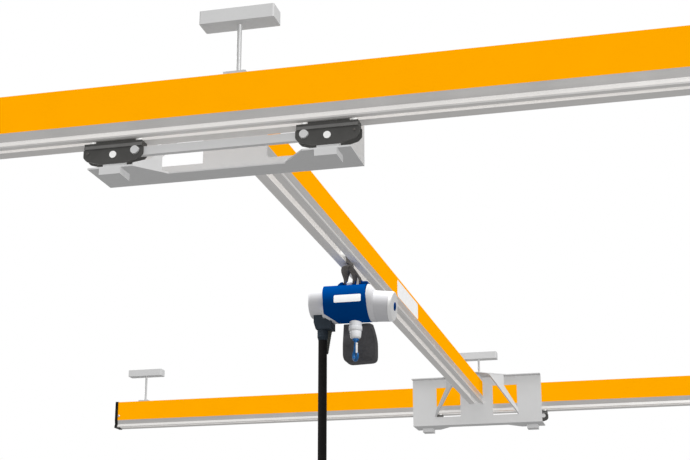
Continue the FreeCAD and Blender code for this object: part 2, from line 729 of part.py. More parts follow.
def carriage(row):
    """One carriage: sheet frame, braces, trolleys with wheels and rollers, link bar and saddles."""
    axis_y = rows[row][1]
    inward = 1 if row == "front" else -1
    x = size["bridge_rest"]
    plate_y = axis_y + size["carriage_offset"] * inward
    pin_level = track_top - pin_drop
    half_turn = 180 if row == "front" else 0
    place(carriage_frame(row), x, plate_y, track_top, Vector(0, 0, 1), half_turn)

    braces = []
    for side in (-1, 1):
        strip = brace(f"{row}_brace_{'left' if side < 0 else 'right'}", side)
        reach = size["brace_foot"] + size["brace_shift"] if row == "front" else size["brace_foot"]
        foot_x = x + reach * (side * -inward)
        foot_y = plate_y + size["weld_gap"] * inward
        turn = brace_angle * side + half_turn
        braces.append(place(strip, foot_x, foot_y, track_top, Vector(0, 0, 1), turn))
    node(together(f"{row}_braces", braces), f"{row}_carriage_braces")

    wheels = []
    rollers = []
    pins = []
    saddles = []
    bottom_plate = track_top - plate_drop
    for spot, side in (("left", -1), ("right", 1)):
        trolley_x = x + size["trolley_offset"] * side
        trolley_frame(f"{row}_{spot}_trolley", trolley_x, axis_y, -side * inward)
        for step in (-1, 1):
            wheel_x = trolley_x + size["axle_offset"] * step
            name = f"{row}_{spot}_wheels_{step + 1}"
            wheels.append(wheel_set(name, wheel_x, axis_y, runway_axle, "X"))
            rollers.append(
                cylinder(
                    f"{row}_{spot}_roller_{step + 1}",
                    size["slot_width"] / 2 - size["roller_clearance"],
                    size["roller_height"],
                    trolley_x + size["roller_offset"] * step,
                    axis_y,
                    pin_level + size["deck_top"],
                )
            )
        pin_half = size["plates_width"] / 2 + size["pin_proud"]
        pin_radius = size["pin_diameter"] / 2 - size["axle_clearance"]
        pins.append(
            cylinder(
                f"{row}_{spot}_pin",
                pin_radius,
                pin_half * 2,
                trolley_x,
                axis_y - pin_half,
                pin_level,
                "Y",
            )
        )
        block_half = size["plates_width"] / 2 - size["plate_thickness"] - size["hanger_gap"]
        block = box(
            f"{row}_{spot}_hanger",
            (trolley_x - size["hanger_half"], trolley_x + size["hanger_half"]),
            (axis_y - block_half, axis_y + block_half),
            (bottom_plate + size["sheet"], pin_level + size["hanger_rise"]),
        )
        bore = cylinder(
            f"{row}_{spot}_hanger_bore",
            size["pin_diameter"] / 2,
            block_half * 2,
            trolley_x,
            axis_y - block_half,
            pin_level,
            "Y",
        )
        saddles.append(cut(f"{row}_{spot}_hanger_block", block, [bore]))
        saddles.append(
            box(
                f"{row}_{spot}_saddle",
                (trolley_x - size["hanger_half"], trolley_x + size["hanger_half"]),
                (axis_y - size["saddle_depth"] / 2, axis_y + size["saddle_depth"] / 2),
                (bottom_plate - size["saddle_height"], bottom_plate),
            )
        )
    node(together(f"{row}_wheels", wheels), f"{row}_trolley_wheels")
    node(together(f"{row}_rollers", rollers), f"{row}_guide_rollers")
    node(together(f"{row}_pins", pins), f"{row}_load_pins")
    node(together(f"{row}_saddle_set", saddles), f"{row}_saddles")
    block_end = plate_y + size["girder_block_depth"] * inward
    block = box(
        f"{row}_girder_block",
        (x - size["girder_block_half"], x + size["girder_block_half"]),
        (plate_y, block_end) if row == "front" else (block_end, plate_y),
        (girder_top, track_top + size["plate_rise"] - size["sheet"]),
    )
    node(block, f"{row}_girder_clamp")
    link_top = pin_level + size["deck_low"]
    link = box(
        f"{row}_link",
        (x - size["link_half"], x + size["link_half"]),
        (axis_y - size["link_width"] / 2, axis_y + size["link_width"] / 2),
        (link_top - size["link_height"], link_top),
    )
    node(link, f"{row}_trolley_link")


def girder():
    """The girder between the two carriage plates."""
    length = size["runway_span"] - size["carriage_offset"] * 2
    beam = track("girder", size["girder_face"], length)
    start = size["carriage_offset"]
    place(beam, size["bridge_rest"], start, girder_top, Vector(0, 0, 1), 90)


hoist_x = size["bridge_rest"]
hoist_y = size["hoist_rest"]
yoke_level = girder_top - girder_depth - size["tongue_clearance"] - size["tongue_rise"]
hoist_level = yoke_level - hoist_drop
legs = {"left": -size["left_leg"], "middle": size["middle_leg"], "right": size["right_leg"]}


def hang(thing):
    """Hang a piece from the yoke pin with the unloaded hoist's tilt."""
    return place(thing, hoist_x, hoist_y, yoke_level, Vector(0, 1, 0), size["hoist_tilt"])


def hoist_trolley():
    """The hoist's trolley: a neck in the girder's slot, on two wheel sets."""
    half = size["neck_thickness"] / 2
    neck = box(
        "hoist_neck",
        (hoist_x - half, hoist_x + half),
        (hoist_y - size["hoist_neck_half"], hoist_y + size["hoist_neck_half"]),
        (yoke_level + size["tongue_rise"], girder_axle + size["neck_crown"]),
    )
    tongue = box(
        "hoist_tongue",
        (hoist_x - size["yoke_crown_half"], hoist_x + size["yoke_crown_half"]),
        (hoist_y - size["lug_half"], hoist_y + size["lug_half"]),
        (yoke_level - size["yoke_crown"], yoke_level + size["tongue_rise"]),
    )
    pin_bore = cylinder(
        "hoist_pin_bore",
        size["yoke_pin_diameter"] / 2 + size["yoke_pin_play"],
        size["lug_half"] * 2,
        hoist_x,
        hoist_y - size["lug_half"],
        yoke_level,
        "Y",
    )
    bores = [pin_bore]
    wheels = []
    for step in (-1, 1):
        y = hoist_y + size["hoist_axle_offset"] * step
        bore_radius = size["axle_diameter"] / 2
        start = hoist_x - half
        length = size["neck_thickness"]
        name = f"hoist_bore_{step + 1}"
        bores.append(cylinder(name, bore_radius, length, start, y, girder_axle, "X"))
        wheels.append(wheel_set(f"hoist_wheels_{step + 1}", hoist_x, y, girder_axle, "Y"))
    blank = fuse("hoist_neck_blank", [neck, tongue])
    node(cut("hoist_neck_cut", blank, bores), "hoist_trolley")
    node(together("hoist_wheel_pair", wheels), "hoist_trolley_wheels")


def hoist_yoke():
    """Two arched plates with three legs and their pins, from the trolley's neck to the hoist's lugs."""
    crown = size["yoke_crown"]
    leg_half = size["leg_half"]
    leg_low = -(size["lug_drop"] + size["leg_end"])
    knee = -size["knee_drop"]
    left, middle, right = legs.values()
    outline = [
        (size["yoke_crown_half"], crown),
        (middle + leg_half * 1.5, ZERO),
        (middle + leg_half * 1.75, knee * 0.3),
        (right + leg_half, knee),
        (right + leg_half, leg_low),
        (right - leg_half, leg_low),
        (right - leg_half, knee),
        (middle + leg_half * 1.5, -size["side_arch_drop"]),
        (middle + leg_half, knee * 0.8),
        (middle + leg_half, leg_low),
        (middle - leg_half, leg_low),
        (middle - leg_half, knee),
        (ZERO, -size["arch_drop"]),
        (left + leg_half, knee * 0.8),
        (left + leg_half, leg_low),
        (left - leg_half, leg_low),
        (left - leg_half, knee),
        (-size["yoke_bulge"], -size["bulge_drop"]),
        (-size["yoke_bulge"], ZERO),
        (-size["yoke_crown_half"], crown),
    ]
    inner = size["lug_half"] + size["yoke_gap"]
    low = leg_low.value
    parts = []
    for step in (-1, 1):
        plate = pad(f"yoke_plate_{step + 1}", "XZ_Plane", [outline], size["yoke_thickness"])
        round_edges(
            plate,
            size["yoke_round"],
            lambda e, m: runs_along(e, Vector(0, 1, 0)) and m.z > low + 1,
        )
        start = inner + size["yoke_thickness"] if step > 0 else -inner
        parts.append(place(plate, ZERO, start, ZERO))
    reach = inner + size["yoke_thickness"]
    parts.append(cylinder("yoke_pin", size["yoke_pin_diameter"] / 2, reach * 2, ZERO, -reach, ZERO, "Y"))
    for name, x in legs.items():
        radius = size["lug_pin_diameter"] / 2
        parts.append(cylinder(f"{name}_lug_pin", radius, reach * 2, x, -reach, -size["lug_drop"], "Y"))
    node(hang(fuse("yoke_whole", parts)), "hoist_yoke")


def housing_block():
    """The hoist's middle housing without its lugs: a drum with leaning ends and a slanted lower left corner."""
    radius = size["body_radius"]
    drop = hoist_drop
    left = -size["body_left"]
    right = size["body_right"]
    lean = size["body_lean"]
    top = -drop + radius + 1
    bottom = -(drop + radius + 1)
    outline = [
        (left - lean, top),
        (right - lean, top),
        (right, -drop),
        (right + size["body_flare"], bottom),
        (left + size["body_notch"], bottom),
        (left, -(drop + size["body_notch_drop"])),
        (left, -drop),
    ]
    block = pad("body_block", "XZ_Plane", [outline], radius * 2)
    place(block, ZERO, radius, ZERO)
    length = size["body_left"] + size["body_right"] + size["body_flare"] + lean
    drum = cylinder("body_drum", radius, length, left - lean, ZERO, -drop, "X")
    shaped = doc.addObject("Part::Common", "body_shaped")
    shaped.Base = block
    shaped.Tool = drum
    return shaped


def hoist_body(shaped):
    """The hoist's middle housing with three lugs on top."""
    radius = size["body_radius"]
    drop = hoist_drop
    lugs = []
    for name, x in legs.items():
        lug = box(
            f"{name}_lug",
            (x - size["leg_half"], x + size["leg_half"]),
            (-size["lug_half"], size["lug_half"]),
            (-drop + radius / 2, -size["lug_drop"] + size["leg_half"]),
        )
        bore = cylinder(
            f"{name}_lug_bore",
            size["lug_pin_diameter"] / 2 + size["axle_clearance"],
            size["lug_half"] * 2,
            x,
            -size["lug_half"],
            -size["lug_drop"],
            "Y",
        )
        lugs.append(cut(f"{name}_lug_cut", lug, [bore]))
    return node(hang(fuse("body_whole", [shaped, *lugs])), "hoist_body")


def hoist_covers(middle):
    """The turned end covers, each shaped to the middle housing, the left one with a foot along its corner."""
    radius = size["cover_radius"]
    housing_radius = size["body_radius"]
    drop = -hoist_drop
    end = -size["body_left"]
    lap = size["cover_lap"]
    left = revolve(
        "left_cover",
        [
            (end - size["left_length"], ZERO),
            (end - size["left_length"], radius),
            (end + lap, radius),
            (end + lap, ZERO),
        ],
    )
    left_end = (end - size["left_length"]).value
    round_edges(left, size["cover_round"], lambda e, m: m.x < left_end + 1)
    place(left, ZERO, ZERO, drop + size["left_rise"])
    right = revolve(
        "right_cover",
        [
            (size["body_right"] - size["right_start"], ZERO),
            (size["body_right"] - size["right_start"], radius),
            (size["body_right"] + size["right_length"], radius - size["cover_taper"]),
            (size["body_right"] + size["right_length"], ZERO),
        ],
    )
    right_end = (size["body_right"] + size["right_length"]).value
    round_edges(right, size["rim_round"], lambda e, m: m.x > right_end - 1)
    place(right, ZERO, ZERO, drop - size["right_drop"], Vector(0, 1, 0), size["right_tilt"])
    start = drop - size["body_notch_drop"]
    bottom = drop - housing_radius - 1
    slant = size["body_notch"] / (bottom - start)
    foot = pad(
        "left_cover_slant",
        "XZ_Plane",
        [
            [
                (end - lap, start + lap * 2),
                (end, start + lap * 2),
                (end, start),
                (end + size["body_notch"], bottom),
                (end + size["body_notch"] + slant * size["cover_foot"], bottom),
                (end, start - size["cover_foot"]),
                (end - lap, start - size["cover_foot"]),
            ]
        ],
        housing_radius * 2,
    )
    place(foot, ZERO, housing_radius, ZERO)
    drum = cylinder("left_cover_drum", housing_radius, lap + size["body_notch"], end - lap, ZERO, drop, "X")
    shaped_foot = doc.addObject("Part::Common", "left_cover_foot")
    shaped_foot.Base = foot
    shaped_foot.Tool = drum
    return [
        node(hang(cut(f"{label}_cut", whole, [middle])), label)
        for label, whole in (
            ("hoist_left_cover", fuse("left_cover_whole", [left, shaped_foot])),
            ("hoist_right_cover", right),
        )
    ]


def seated(label, blank, housing):
    """A piece whose upper end is shaped to the hoist housing it is fixed under."""
    shaped = blank
    for number, tool in enumerate(housing):
        shaped = cut(f"{label}_seat_{number}", shaped, [tool])
    return node(shaped, label)


def hook_line(housing):
    """The hook's sleeve under the housing, the forged hook that turns in it and the latch."""
    x = hoist_x + size["hook_offset"]
    y = hoist_y
    low = hoist_level - size["body_radius"] - size["sleeve_height"]
    sleeve = cone(
        "sleeve_blank",
        size["sleeve_radius"] - size["sleeve_taper"],
        size["sleeve_radius"],
        hoist_level - low,
        x,
        y,
        low,
    )
    bore = cylinder(
        "sleeve_bore",
        size["shank_diameter"] / 2,
        size["shank_depth"] + size["shank_end_gap"],
        x,
        y,
        low,
    )
    seated("hook_sleeve", cut("sleeve_bored", sleeve, [bore]), housing)

    collar_top = low - size["collar_gap"]
    collar_low = collar_top - size["collar_height"]
    collar = cylinder("hook_collar", size["collar_radius"], size["collar_height"], x, y, collar_low)
    shank = cylinder(
        "hook_shank",
        size["shank_diameter"] / 2 - size["axle_clearance"],
        size["shank_depth"] + size["collar_gap"],
        x,
        y,
        collar_top,
    )
    middle = low - size["hook_drop"]
    bow = doc.addObject("Part::Feature", "hook_bow")
    bow.Shape = hook_bow((collar_low + size["collar_height"] / 2 - middle).value)
    upright = Vector(0, 0, 1)
    place(bow, x, y, middle, upright, -size["hook_facing"])
    node(fuse("hook_whole", [bow, collar, shank]), "hook")

    barrel_x = size["hook_section"] + size["latch_gap"] + size["latch_barrel"]
    half = size["latch_width"] / 2
    barrel = cylinder(
        "latch_barrel_bar",
        size["latch_barrel"],
        size["latch_width"],
        barrel_x,
        -half,
        size["latch_rise"],
        "Y",
    )
    blade = box(
        "latch_blade",
        (barrel_x - size["latch_thickness"] / 2, barrel_x + size["latch_thickness"] / 2),
        (-half, half),
        (size["latch_low"], size["latch_rise"]),
    )
    latch = fuse("latch_whole", [barrel, blade])
    node(place(latch, x, y, middle, upright, -size["hook_facing"]), "hook_latch")


def hook_bow(neck):
    """The forged bow, about the middle of its bowl: a neck, a swelling bowl and a tapered tip."""
    section = size["hook_section"].value
    mean = size["hook_inner"].value + section
    swell = size["hook_swell"].value
    tip = size["hook_tip"].value
    start = math.radians(size["hook_start"].value)
    turn = math.radians(size["hook_turn"].value)
    join = Vector(mean * math.cos(start), 0, mean * math.sin(start))
    onward = Vector(-math.sin(start), 0, math.cos(start))
    down = Vector(0, 0, -1)
    straight = size["neck_straight"].value
    head = Vector(0, 0, neck)
    bend = head + down * straight
    bends = (bend, bend + down * (mean / 2), join - onward * (mean / 2), join)
    stations = [(head, down, section), (head + down * (straight / 2), down, section)]
    for step in range(5):
        t = step / 5
        weights = ((1 - t) ** 3, 3 * t * (1 - t) ** 2, 3 * t * t * (1 - t), t ** 3)
        point = sum((b * w for b, w in zip(bends, weights)), Vector())
        slopes = (3 * (1 - t) ** 2, 6 * t * (1 - t), 3 * t * t)
        legs = zip(bends, bends[1:], slopes)
        heading = sum(((b - a) * s for a, b, s in legs), Vector())
        stations.append((point, heading, section))
    rounds = 14
    for step in range(rounds + 1):
        part_turn = step / rounds
        angle = start + turn * part_turn
        point = Vector(mean * math.cos(angle), 0, mean * math.sin(angle))
        heading = Vector(-math.sin(angle), 0, math.cos(angle))
        thinning = max(0.0, (part_turn - 0.6) / 0.4)
        radius = section + swell * math.sin(math.pi * part_turn) - (section - tip) * thinning
        stations.append((point, heading, radius))
    rings = []
    for point, heading, radius in stations:
        circle = Part.Circle(point, heading, radius)
        circle.XAxis = Vector(0, 1, 0)
        rings.append(Part.Wire(circle.toShape()))
    return Part.makeLoft(rings, True)


def chain_bag(housing):
    """The chain bag behind the hook line, rounded at its lower corners."""
    half = size["bag_length"] / 2
    depth = size["bag_depth"]
    outline = [(half, ZERO), (half, -size["bag_height"])]
    bag = pad("bag_block", "XZ_Plane", [mirrored(outline)], depth)
    low = -size["bag_height"].value
    round_edges(
        bag,
        size["bag_round"],
        lambda e, m: runs_along(e, Vector(0, 1, 0)) and m.z < low + 1,
    )
    top = hoist_level - size["bag_drop"]
    place(bag, hoist_x + size["bag_offset"], hoist_y + bag_front + depth, top)
    seated("chain_bag", bag, housing)


def control_line(housing):
    """The control cable's socket, the side strain relief, the hanging cable and its pendant."""
    x = hoist_x - size["cable_offset"]
    y = hoist_y
    radius = size["cable_diameter"] / 2
    socket_low = hoist_level - size["socket_drop"]
    waist = hoist_level - size["socket_waist"]
    depth = size["socket_depth"]
    block = pad(
        "socket_block",
        "XZ_Plane",
        [
            [
                (size["socket_right"], ZERO),
                (size["socket_right"], -size["socket_low_right"]),
                (-size["socket_radius"], -size["socket_low_right"]),
                (-size["socket_left"], -size["socket_low_left"]),
                (-size["socket_left"], ZERO),
            ]
        ],
        depth,
    )
    place(block, x, y + depth / 2, hoist_level)
    barrel = cylinder(
        "socket_barrel", size["socket_radius"], size["socket_waist"], x, y, waist
    )
    nose = cone("socket_nose", radius, size["socket_radius"], waist - socket_low, x, y, socket_low)
    socket = fuse("socket_blank", [block, barrel, nose])
    seated("cable_socket", socket, housing)
    relief_low = hoist_level - size["relief_drop"]
    relief = cone(
        "relief_blank",
        size["relief_end_radius"],
        size["relief_radius"],
        size["relief_drop"] - size["socket_low_right"],
        hoist_x - size["relief_offset"],
        y + size["relief_back"],
        relief_low,
    )
    node(relief, "side_relief")
    cable_low = socket_low - size["cable_length"]
    cable = cylinder("cable_run", radius, size["cable_length"], x, y, cable_low)
    node(cable, "control_cable")
    half_width = size["pendant_width"] / 2
    half_depth = size["pendant_depth"] / 2
    outline = [(half_width, half_depth), (half_width, -half_depth)]
    pendant = pad("pendant_block", "XY_Plane", [mirrored(outline)], size["pendant_height"])
    round_edges(pendant, size["pendant_round"], lambda e, m: runs_along(e, Vector(0, 0, 1)))
    node(place(pendant, x, y, cable_low - size["pendant_height"]), "pendant")


def hoist():
    """The whole hoist with everything that hangs from it."""
    hoist_trolley()
    hoist_yoke()
    middle = housing_block()
    shells = [hoist_body(middle), *hoist_covers(middle)]
    whole = fuse("housing", shells)
    lowered = together("housing_lowered", [whole])
    place(lowered, ZERO, ZERO, -size["seat_gap"])
    housing = [lowered, whole]
    hook_line(housing)
    chain_bag(housing)
    control_line(housing)


def build():
    """Build the whole crane in order."""
    for row in rows:
        runway(row)
    girder()
    for row in rows:
        carriage(row)
    hoist()


build()
doc.recompute()

failed = [o.Label for o in doc.Objects if {"Invalid", "Error"} & set(o.State)]
if failed:
    raise RuntimeError(f"failed to build: {failed}")
for part in nodes:
    if part.Shape.isNull() or not part.Shape.isValid() or not part.Shape.Solids:
        raise RuntimeError(f"no sound shape: {part.Label}")
os.makedirs("parts", exist_ok=True)
for part in nodes:
    part.Shape.exportStep(f"parts/{part.Label}.step")
print(len(nodes), "nodes written")
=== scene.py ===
"""Looks of a light overhead crane: finishes, fittings, light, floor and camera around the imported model."""
import logging
import math
from dataclasses import dataclass, replace
from enum import Enum
from itertools import product
from typing import ClassVar, Optional, Sequence, Union

import bmesh
import bpy
from mathutils import Matrix, Vector, noise


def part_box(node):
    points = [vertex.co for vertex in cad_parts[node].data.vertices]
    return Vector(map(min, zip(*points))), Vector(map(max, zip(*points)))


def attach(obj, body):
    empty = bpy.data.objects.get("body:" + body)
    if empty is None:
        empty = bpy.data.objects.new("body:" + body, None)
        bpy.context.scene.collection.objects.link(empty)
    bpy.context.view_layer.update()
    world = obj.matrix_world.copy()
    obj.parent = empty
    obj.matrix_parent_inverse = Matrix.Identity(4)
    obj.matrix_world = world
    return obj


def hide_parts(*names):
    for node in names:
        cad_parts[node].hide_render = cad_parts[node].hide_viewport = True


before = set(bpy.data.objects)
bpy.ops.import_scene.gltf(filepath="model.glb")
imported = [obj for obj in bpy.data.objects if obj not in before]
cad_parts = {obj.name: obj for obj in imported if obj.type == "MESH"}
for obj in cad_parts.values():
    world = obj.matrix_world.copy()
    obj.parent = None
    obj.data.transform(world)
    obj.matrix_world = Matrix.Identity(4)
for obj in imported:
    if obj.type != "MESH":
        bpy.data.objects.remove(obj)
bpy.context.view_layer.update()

LOG = logging.getLogger("crane")
Colour = tuple[float, float, float]
Point = Union[tuple[float, float, float], Vector]
Profile = Sequence[tuple[float, float]]
Socket = bpy.types.NodeSocket
Sockets = bpy.types.NodeOutputs
Feed = Union[float, tuple, Socket]
Verts = list[bmesh.types.BMVert]
Edges = list[bmesh.types.BMEdge]

SIDES = (-1.0, 1.0)
NOISE_RANGE = (0.3, 0.7)
TINY = 1e-6


class Axis(Enum):
    """Directions of the shared frame: X along the runways, Y along the girder, Z up."""

    X = (1.0, 0.0, 0.0)
    Y = (0.0, 1.0, 0.0)
    Z = (0.0, 0.0, 1.0)


UP = Axis.Z.value


class Row(Enum):
    """The two runways, and the carriage on each."""

    FRONT = "front"
    REAR = "rear"


class Body(Enum):
    """Moving bodies that pieces ride on."""

    RUNWAYS = "runways"
    BRIDGE = "bridge"
    HOIST = "hoist"


class Slot(Enum):
    """The record's material slots that new pieces belong to."""

    ZINC = "rod_zinc"
    CASTING = "casting_charcoal"
    SHEET = "sheet_grey"
    COVER = "cover_white"
    BLUE = "hoist_blue"
    CABLE = "cable_black"
    BAG = "bag_grey"
    PENDANT = "pendant_dark"


class Effect(Enum):
    """Surface effects that several finishes share, each of them one node group."""

    GRAIN = "fine_grain"
    WEAR = "edge_wear"
    DUST = "settled_dust"
    LINES = "drawn_lines"
    RINGS = "turned_rings"
    WEAVE = "plain_weave"
    FACES = "outer_faces"


class Rounding(Enum):
    """What a bevel rounds: edges of a solid, or corners of a sheet."""

    EDGES = "EDGES"
    CORNERS = "VERTICES"


class Lit(Enum):
    """Whether a lamp lights only the pieces that it names, or all others."""

    ONLY = "INCLUDE"
    OTHERS = "EXCLUDE"


class Graph:
    """A small wrapper round a node tree that adds and links nodes."""

    def __init__(self, tree: bpy.types.NodeTree) -> None:
        """Keep the tree that nodes are added to."""
        self.tree = tree

    def feed(self, target: Socket, value: Feed) -> None:
        """Feed an input.

        Args:
            target: the input socket.
            value: a plain value, or the output socket that is linked to it.
        """
        if isinstance(value, Socket):
            self.tree.links.new(value, target)
        else:
            target.default_value = value

    def add(self, kind: str, inputs: Optional[dict] = None, **settings: object) -> bpy.types.Node:
        """Add a node, set its properties and feed its inputs.

        Args:
            kind: the node's type name.
            inputs: socket name or number to a plain value or an output socket.
            **settings: node properties to set.

        Returns:
            The new node.
        """
        node = self.tree.nodes.new(kind)
        for name, value in settings.items():
            setattr(node, name, value)
        for name, value in (inputs or {}).items():
            self.feed(node.inputs[name], value)
        return node

    def calc(self, operation: str, *values: Feed) -> Socket:
        """Output of a math node with these inputs."""
        return self.add("ShaderNodeMath", dict(enumerate(values)), operation=operation).outputs[0]

    def dot(self, vector: Feed, direction: Feed) -> Socket:
        """Dot product of two vectors."""
        node = self.add("ShaderNodeVectorMath", {0: vector, 1: direction}, operation="DOT_PRODUCT")
        return node.outputs["Value"]

    def scaled(self, vector: Feed, factors: Feed) -> Socket:
        """A vector whose parts are multiplied by their own factors."""
        node = self.add("ShaderNodeVectorMath", {0: vector, 1: factors}, operation="MULTIPLY")
        return node.outputs["Vector"]

    def remap(self, value: Feed, low: float, high: float, start: float = 0.0, end: float = 1.0) -> Socket:
        """Map a value from the range low to high onto start to end, clamped."""
        ends = {"Value": value, "From Min": low, "From Max": high, "To Min": start, "To Max": end}
        return self.add("ShaderNodeMapRange", ends).outputs["Result"]

    def mix(self, factor: Feed, first: Feed, second: Feed, blend: str = "MIX") -> Socket:
        """Mix two colours: the first at factor 0, the second at factor 1."""
        sides = {"Factor": factor, "A": first, "B": second}
        return self.add("ShaderNodeMix", sides, data_type="RGBA", blend_type=blend).outputs["Result"]

    def speckle(self, vector: Feed, scale: Feed, detail: float) -> Socket:
        """Noise about 0.5 with so many patches per metre and octaves of detail."""
        inputs = {"Vector": vector, "Scale": scale, "Detail": detail}
        return self.add("ShaderNodeTexNoise", inputs).outputs["Fac"]


class EffectLibrary:
    """The shared node groups, each built once, when a finish first asks for it.

    Attributes:
        LIP_DEPTH: how far below a track's painted faces its lips begin.
        SIDEWAYS: how far a painted face looks to the side, as a cosine.
    """

    LIP_DEPTH: ClassVar[float] = 0.052
    SIDEWAYS: ClassVar[float] = 0.9

    def __init__(self) -> None:
        """Start with no groups."""
        self._trees: dict[Effect, bpy.types.NodeTree] = {}

    def place(self, graph: Graph, effect: Effect, inputs: dict) -> Sockets:
        """Place an effect in a material.

        Args:
            graph: the material's nodes.
            effect: which effect.
            inputs: the group's input names with values or sockets.

        Returns:
            The group node's outputs.
        """
        if effect not in self._trees:
            self._trees[effect] = self._build(effect)
        return graph.add("ShaderNodeGroup", inputs, node_tree=self._trees[effect]).outputs

    def _build(self, effect: Effect) -> bpy.types.NodeTree:
        """Build one effect's group.

        Args:
            effect: which effect.

        Returns:
            The group's node tree.
        """
        makers = {
            Effect.GRAIN: (self._grain, ("Patch", "Fine"), ("Tone", "Height")),
            Effect.WEAR: (self._wear, ("Width", "Breakup"), ("Mask",)),
            Effect.DUST: (self._dust, ("Amount",), ("Mask",)),
            Effect.LINES: (self._lines, ("Along", "Across"), ("Tone", "Height")),
            Effect.RINGS: (self._rings, ("Pitch",), ("Height",)),
            Effect.WEAVE: (self._weave, ("Threads",), ("Tone", "Height")),
            Effect.FACES: (self._faces, ("Across", "Centre", "Reach", "Low"), ("Mask", "Matt", "Upper")),
        }
        maker, values, results = makers[effect]
        tree = bpy.data.node_groups.new(effect.value, "ShaderNodeTree")
        for name in ("Vector", *values):
            kind = "NodeSocketVector" if name in ("Vector", "Along", "Across") else "NodeSocketFloat"
            tree.interface.new_socket(name=name, in_out="INPUT", socket_type=kind)
        for name in results:
            tree.interface.new_socket(name=name, in_out="OUTPUT", socket_type="NodeSocketFloat")
        graph = Graph(tree)
        given = graph.add("NodeGroupInput").outputs
        graph.add("NodeGroupOutput", dict(zip(results, maker(graph, given))))
        return tree

    @staticmethod
    def _grain(graph: Graph, given: Sockets) -> Sequence[Socket]:
        """Broad patches of tone, and a fine grain for the bump."""
        tone = graph.speckle(given["Vector"], given["Patch"], detail=3.0)
        return tone, graph.speckle(given["Vector"], given["Fine"], detail=1.0)

    @staticmethod
    def _wear(graph: Graph, given: Sockets) -> Sequence[Socket]:
        """Where an edge is, broken up by noise.

        Args:
            graph: the group's nodes.
            given: the group's inputs.

        Returns:
            The mask of worn edges.
        """
        rounded = graph.add("ShaderNodeBevel", {"Radius": given["Width"]}, samples=4).outputs["Normal"]
        plain = graph.add("ShaderNodeNewGeometry").outputs["Normal"]
        edge = graph.remap(graph.dot(rounded, plain), 0.99, 0.86)
        spots = graph.speckle(given["Vector"], given["Breakup"], detail=4.0)
        broken = graph.remap(spots, 0.38, 0.62, start=0.25)
        return (graph.calc("MULTIPLY", edge, broken),)

    @staticmethod
    def _dust(graph: Graph, given: Sockets) -> Sequence[Socket]:
        """Dust that lies unevenly on faces looking up.

        Args:
            graph: the group's nodes.
            given: the group's inputs.

        Returns:
            The mask of the dust.
        """
        normal = graph.add("ShaderNodeNewGeometry").outputs["Normal"]
        upward = graph.remap(graph.dot(normal, UP), 0.45, 1.0)
        spots = graph.speckle(given["Vector"], scale=14.0, detail=4.0)
        uneven = graph.remap(spots, 0.35, 0.7, start=0.3)
        return (graph.calc("MULTIPLY", graph.calc("MULTIPLY", upward, uneven), given["Amount"]),)

    @staticmethod
    def _lines(graph: Graph, given: Sockets) -> Sequence[Socket]:
        """A slow change of tone along a drawn profile, and the long fine lines that its die leaves."""
        along, across = (graph.scaled(given["Vector"], given[name]) for name in ("Along", "Across"))
        return graph.speckle(along, scale=1.0, detail=3.0), graph.speckle(across, scale=1.0, detail=2.0)

    @staticmethod
    def _rings(graph: Graph, given: Sockets) -> Sequence[Socket]:
        """Fine level rings round an upright piece."""
        turns = graph.calc("DIVIDE", graph.dot(given["Vector"], (0.0, 0.0, math.tau)), given["Pitch"])
        return (graph.calc("MULTIPLY_ADD", graph.calc("SINE", turns), 0.5, 0.5),)

    @staticmethod
    def _weave(graph: Graph, given: Sockets) -> Sequence[Socket]:
        """Crossed threads, and the slight difference in tone between them.

        Args:
            graph: the group's nodes.
            given: the group's inputs.

        Returns:
            The threads' tone and their height.
        """
        step = graph.calc("MULTIPLY", given["Threads"], math.pi)
        warp, weft = (
            graph.calc("SINE", graph.calc("MULTIPLY", graph.dot(given["Vector"], way), step))
            for way in ((1.0, 1.0, 0.0), (0.0, 0.3, 1.0))
        )
        knots = graph.calc("MULTIPLY_ADD", graph.calc("MULTIPLY", warp, weft), 0.5, 0.5)
        slub = graph.calc("MULTIPLY", graph.speckle(given["Vector"], scale=90.0, detail=3.0), 0.65)
        return graph.calc("MULTIPLY_ADD", knots, 0.35, slub), knots

    @classmethod
    def _faces(cls, graph: Graph, given: Sockets) -> Sequence[Socket]:
        """Zones of a hollow track.

        Args:
            graph: the group's nodes.
            given: the group's inputs.

        Returns:
            Masks of the painted outer faces, of the matt faces, which are the inner ones, the undersides
            and the tops, and of the tops alone.
        """
        normal = graph.add("ShaderNodeNewGeometry").outputs["Normal"]
        rise = graph.dot(normal, UP)
        facing = graph.dot(normal, given["Across"])
        level = graph.dot(given["Vector"], UP)
        offset = graph.calc("SUBTRACT", graph.dot(given["Vector"], given["Across"]), given["Centre"])
        side = graph.calc("GREATER_THAN", graph.calc("ABSOLUTE", facing), cls.SIDEWAYS)
        outer = graph.calc("GREATER_THAN", graph.calc("ABSOLUTE", offset), given["Reach"])
        above = graph.calc("GREATER_THAN", level, given["Low"])
        painted = graph.calc("MULTIPLY", graph.calc("MULTIPLY", side, outer), above)
        over_lips = graph.calc("GREATER_THAN", level, graph.calc("SUBTRACT", given["Low"], cls.LIP_DEPTH))
        to_axis = graph.calc("LESS_THAN", graph.calc("MULTIPLY", offset, facing), 0.0)
        inner = graph.calc("MULTIPLY", to_axis, over_lips)
        under = graph.remap(rise, -0.5, -0.8)
        upper = graph.remap(rise, 0.2, 1.0)
        return painted, graph.calc("MAXIMUM", graph.calc("MAXIMUM", inner, under), upper), upper


@dataclass(frozen=True)
class Surface:
    """A material in the making.

    Attributes:
        graph: its nodes.
        effects: the shared node groups.
        place: Object coordinates on the piece.
    """

    graph: Graph
    effects: EffectLibrary
    place: Socket

    def effect(self, effect: Effect, inputs: dict) -> Sockets:
        """Outputs of an effect placed here, with the group's inputs by name."""
        return self.effects.place(self.graph, effect, {"Vector": self.place, **inputs})


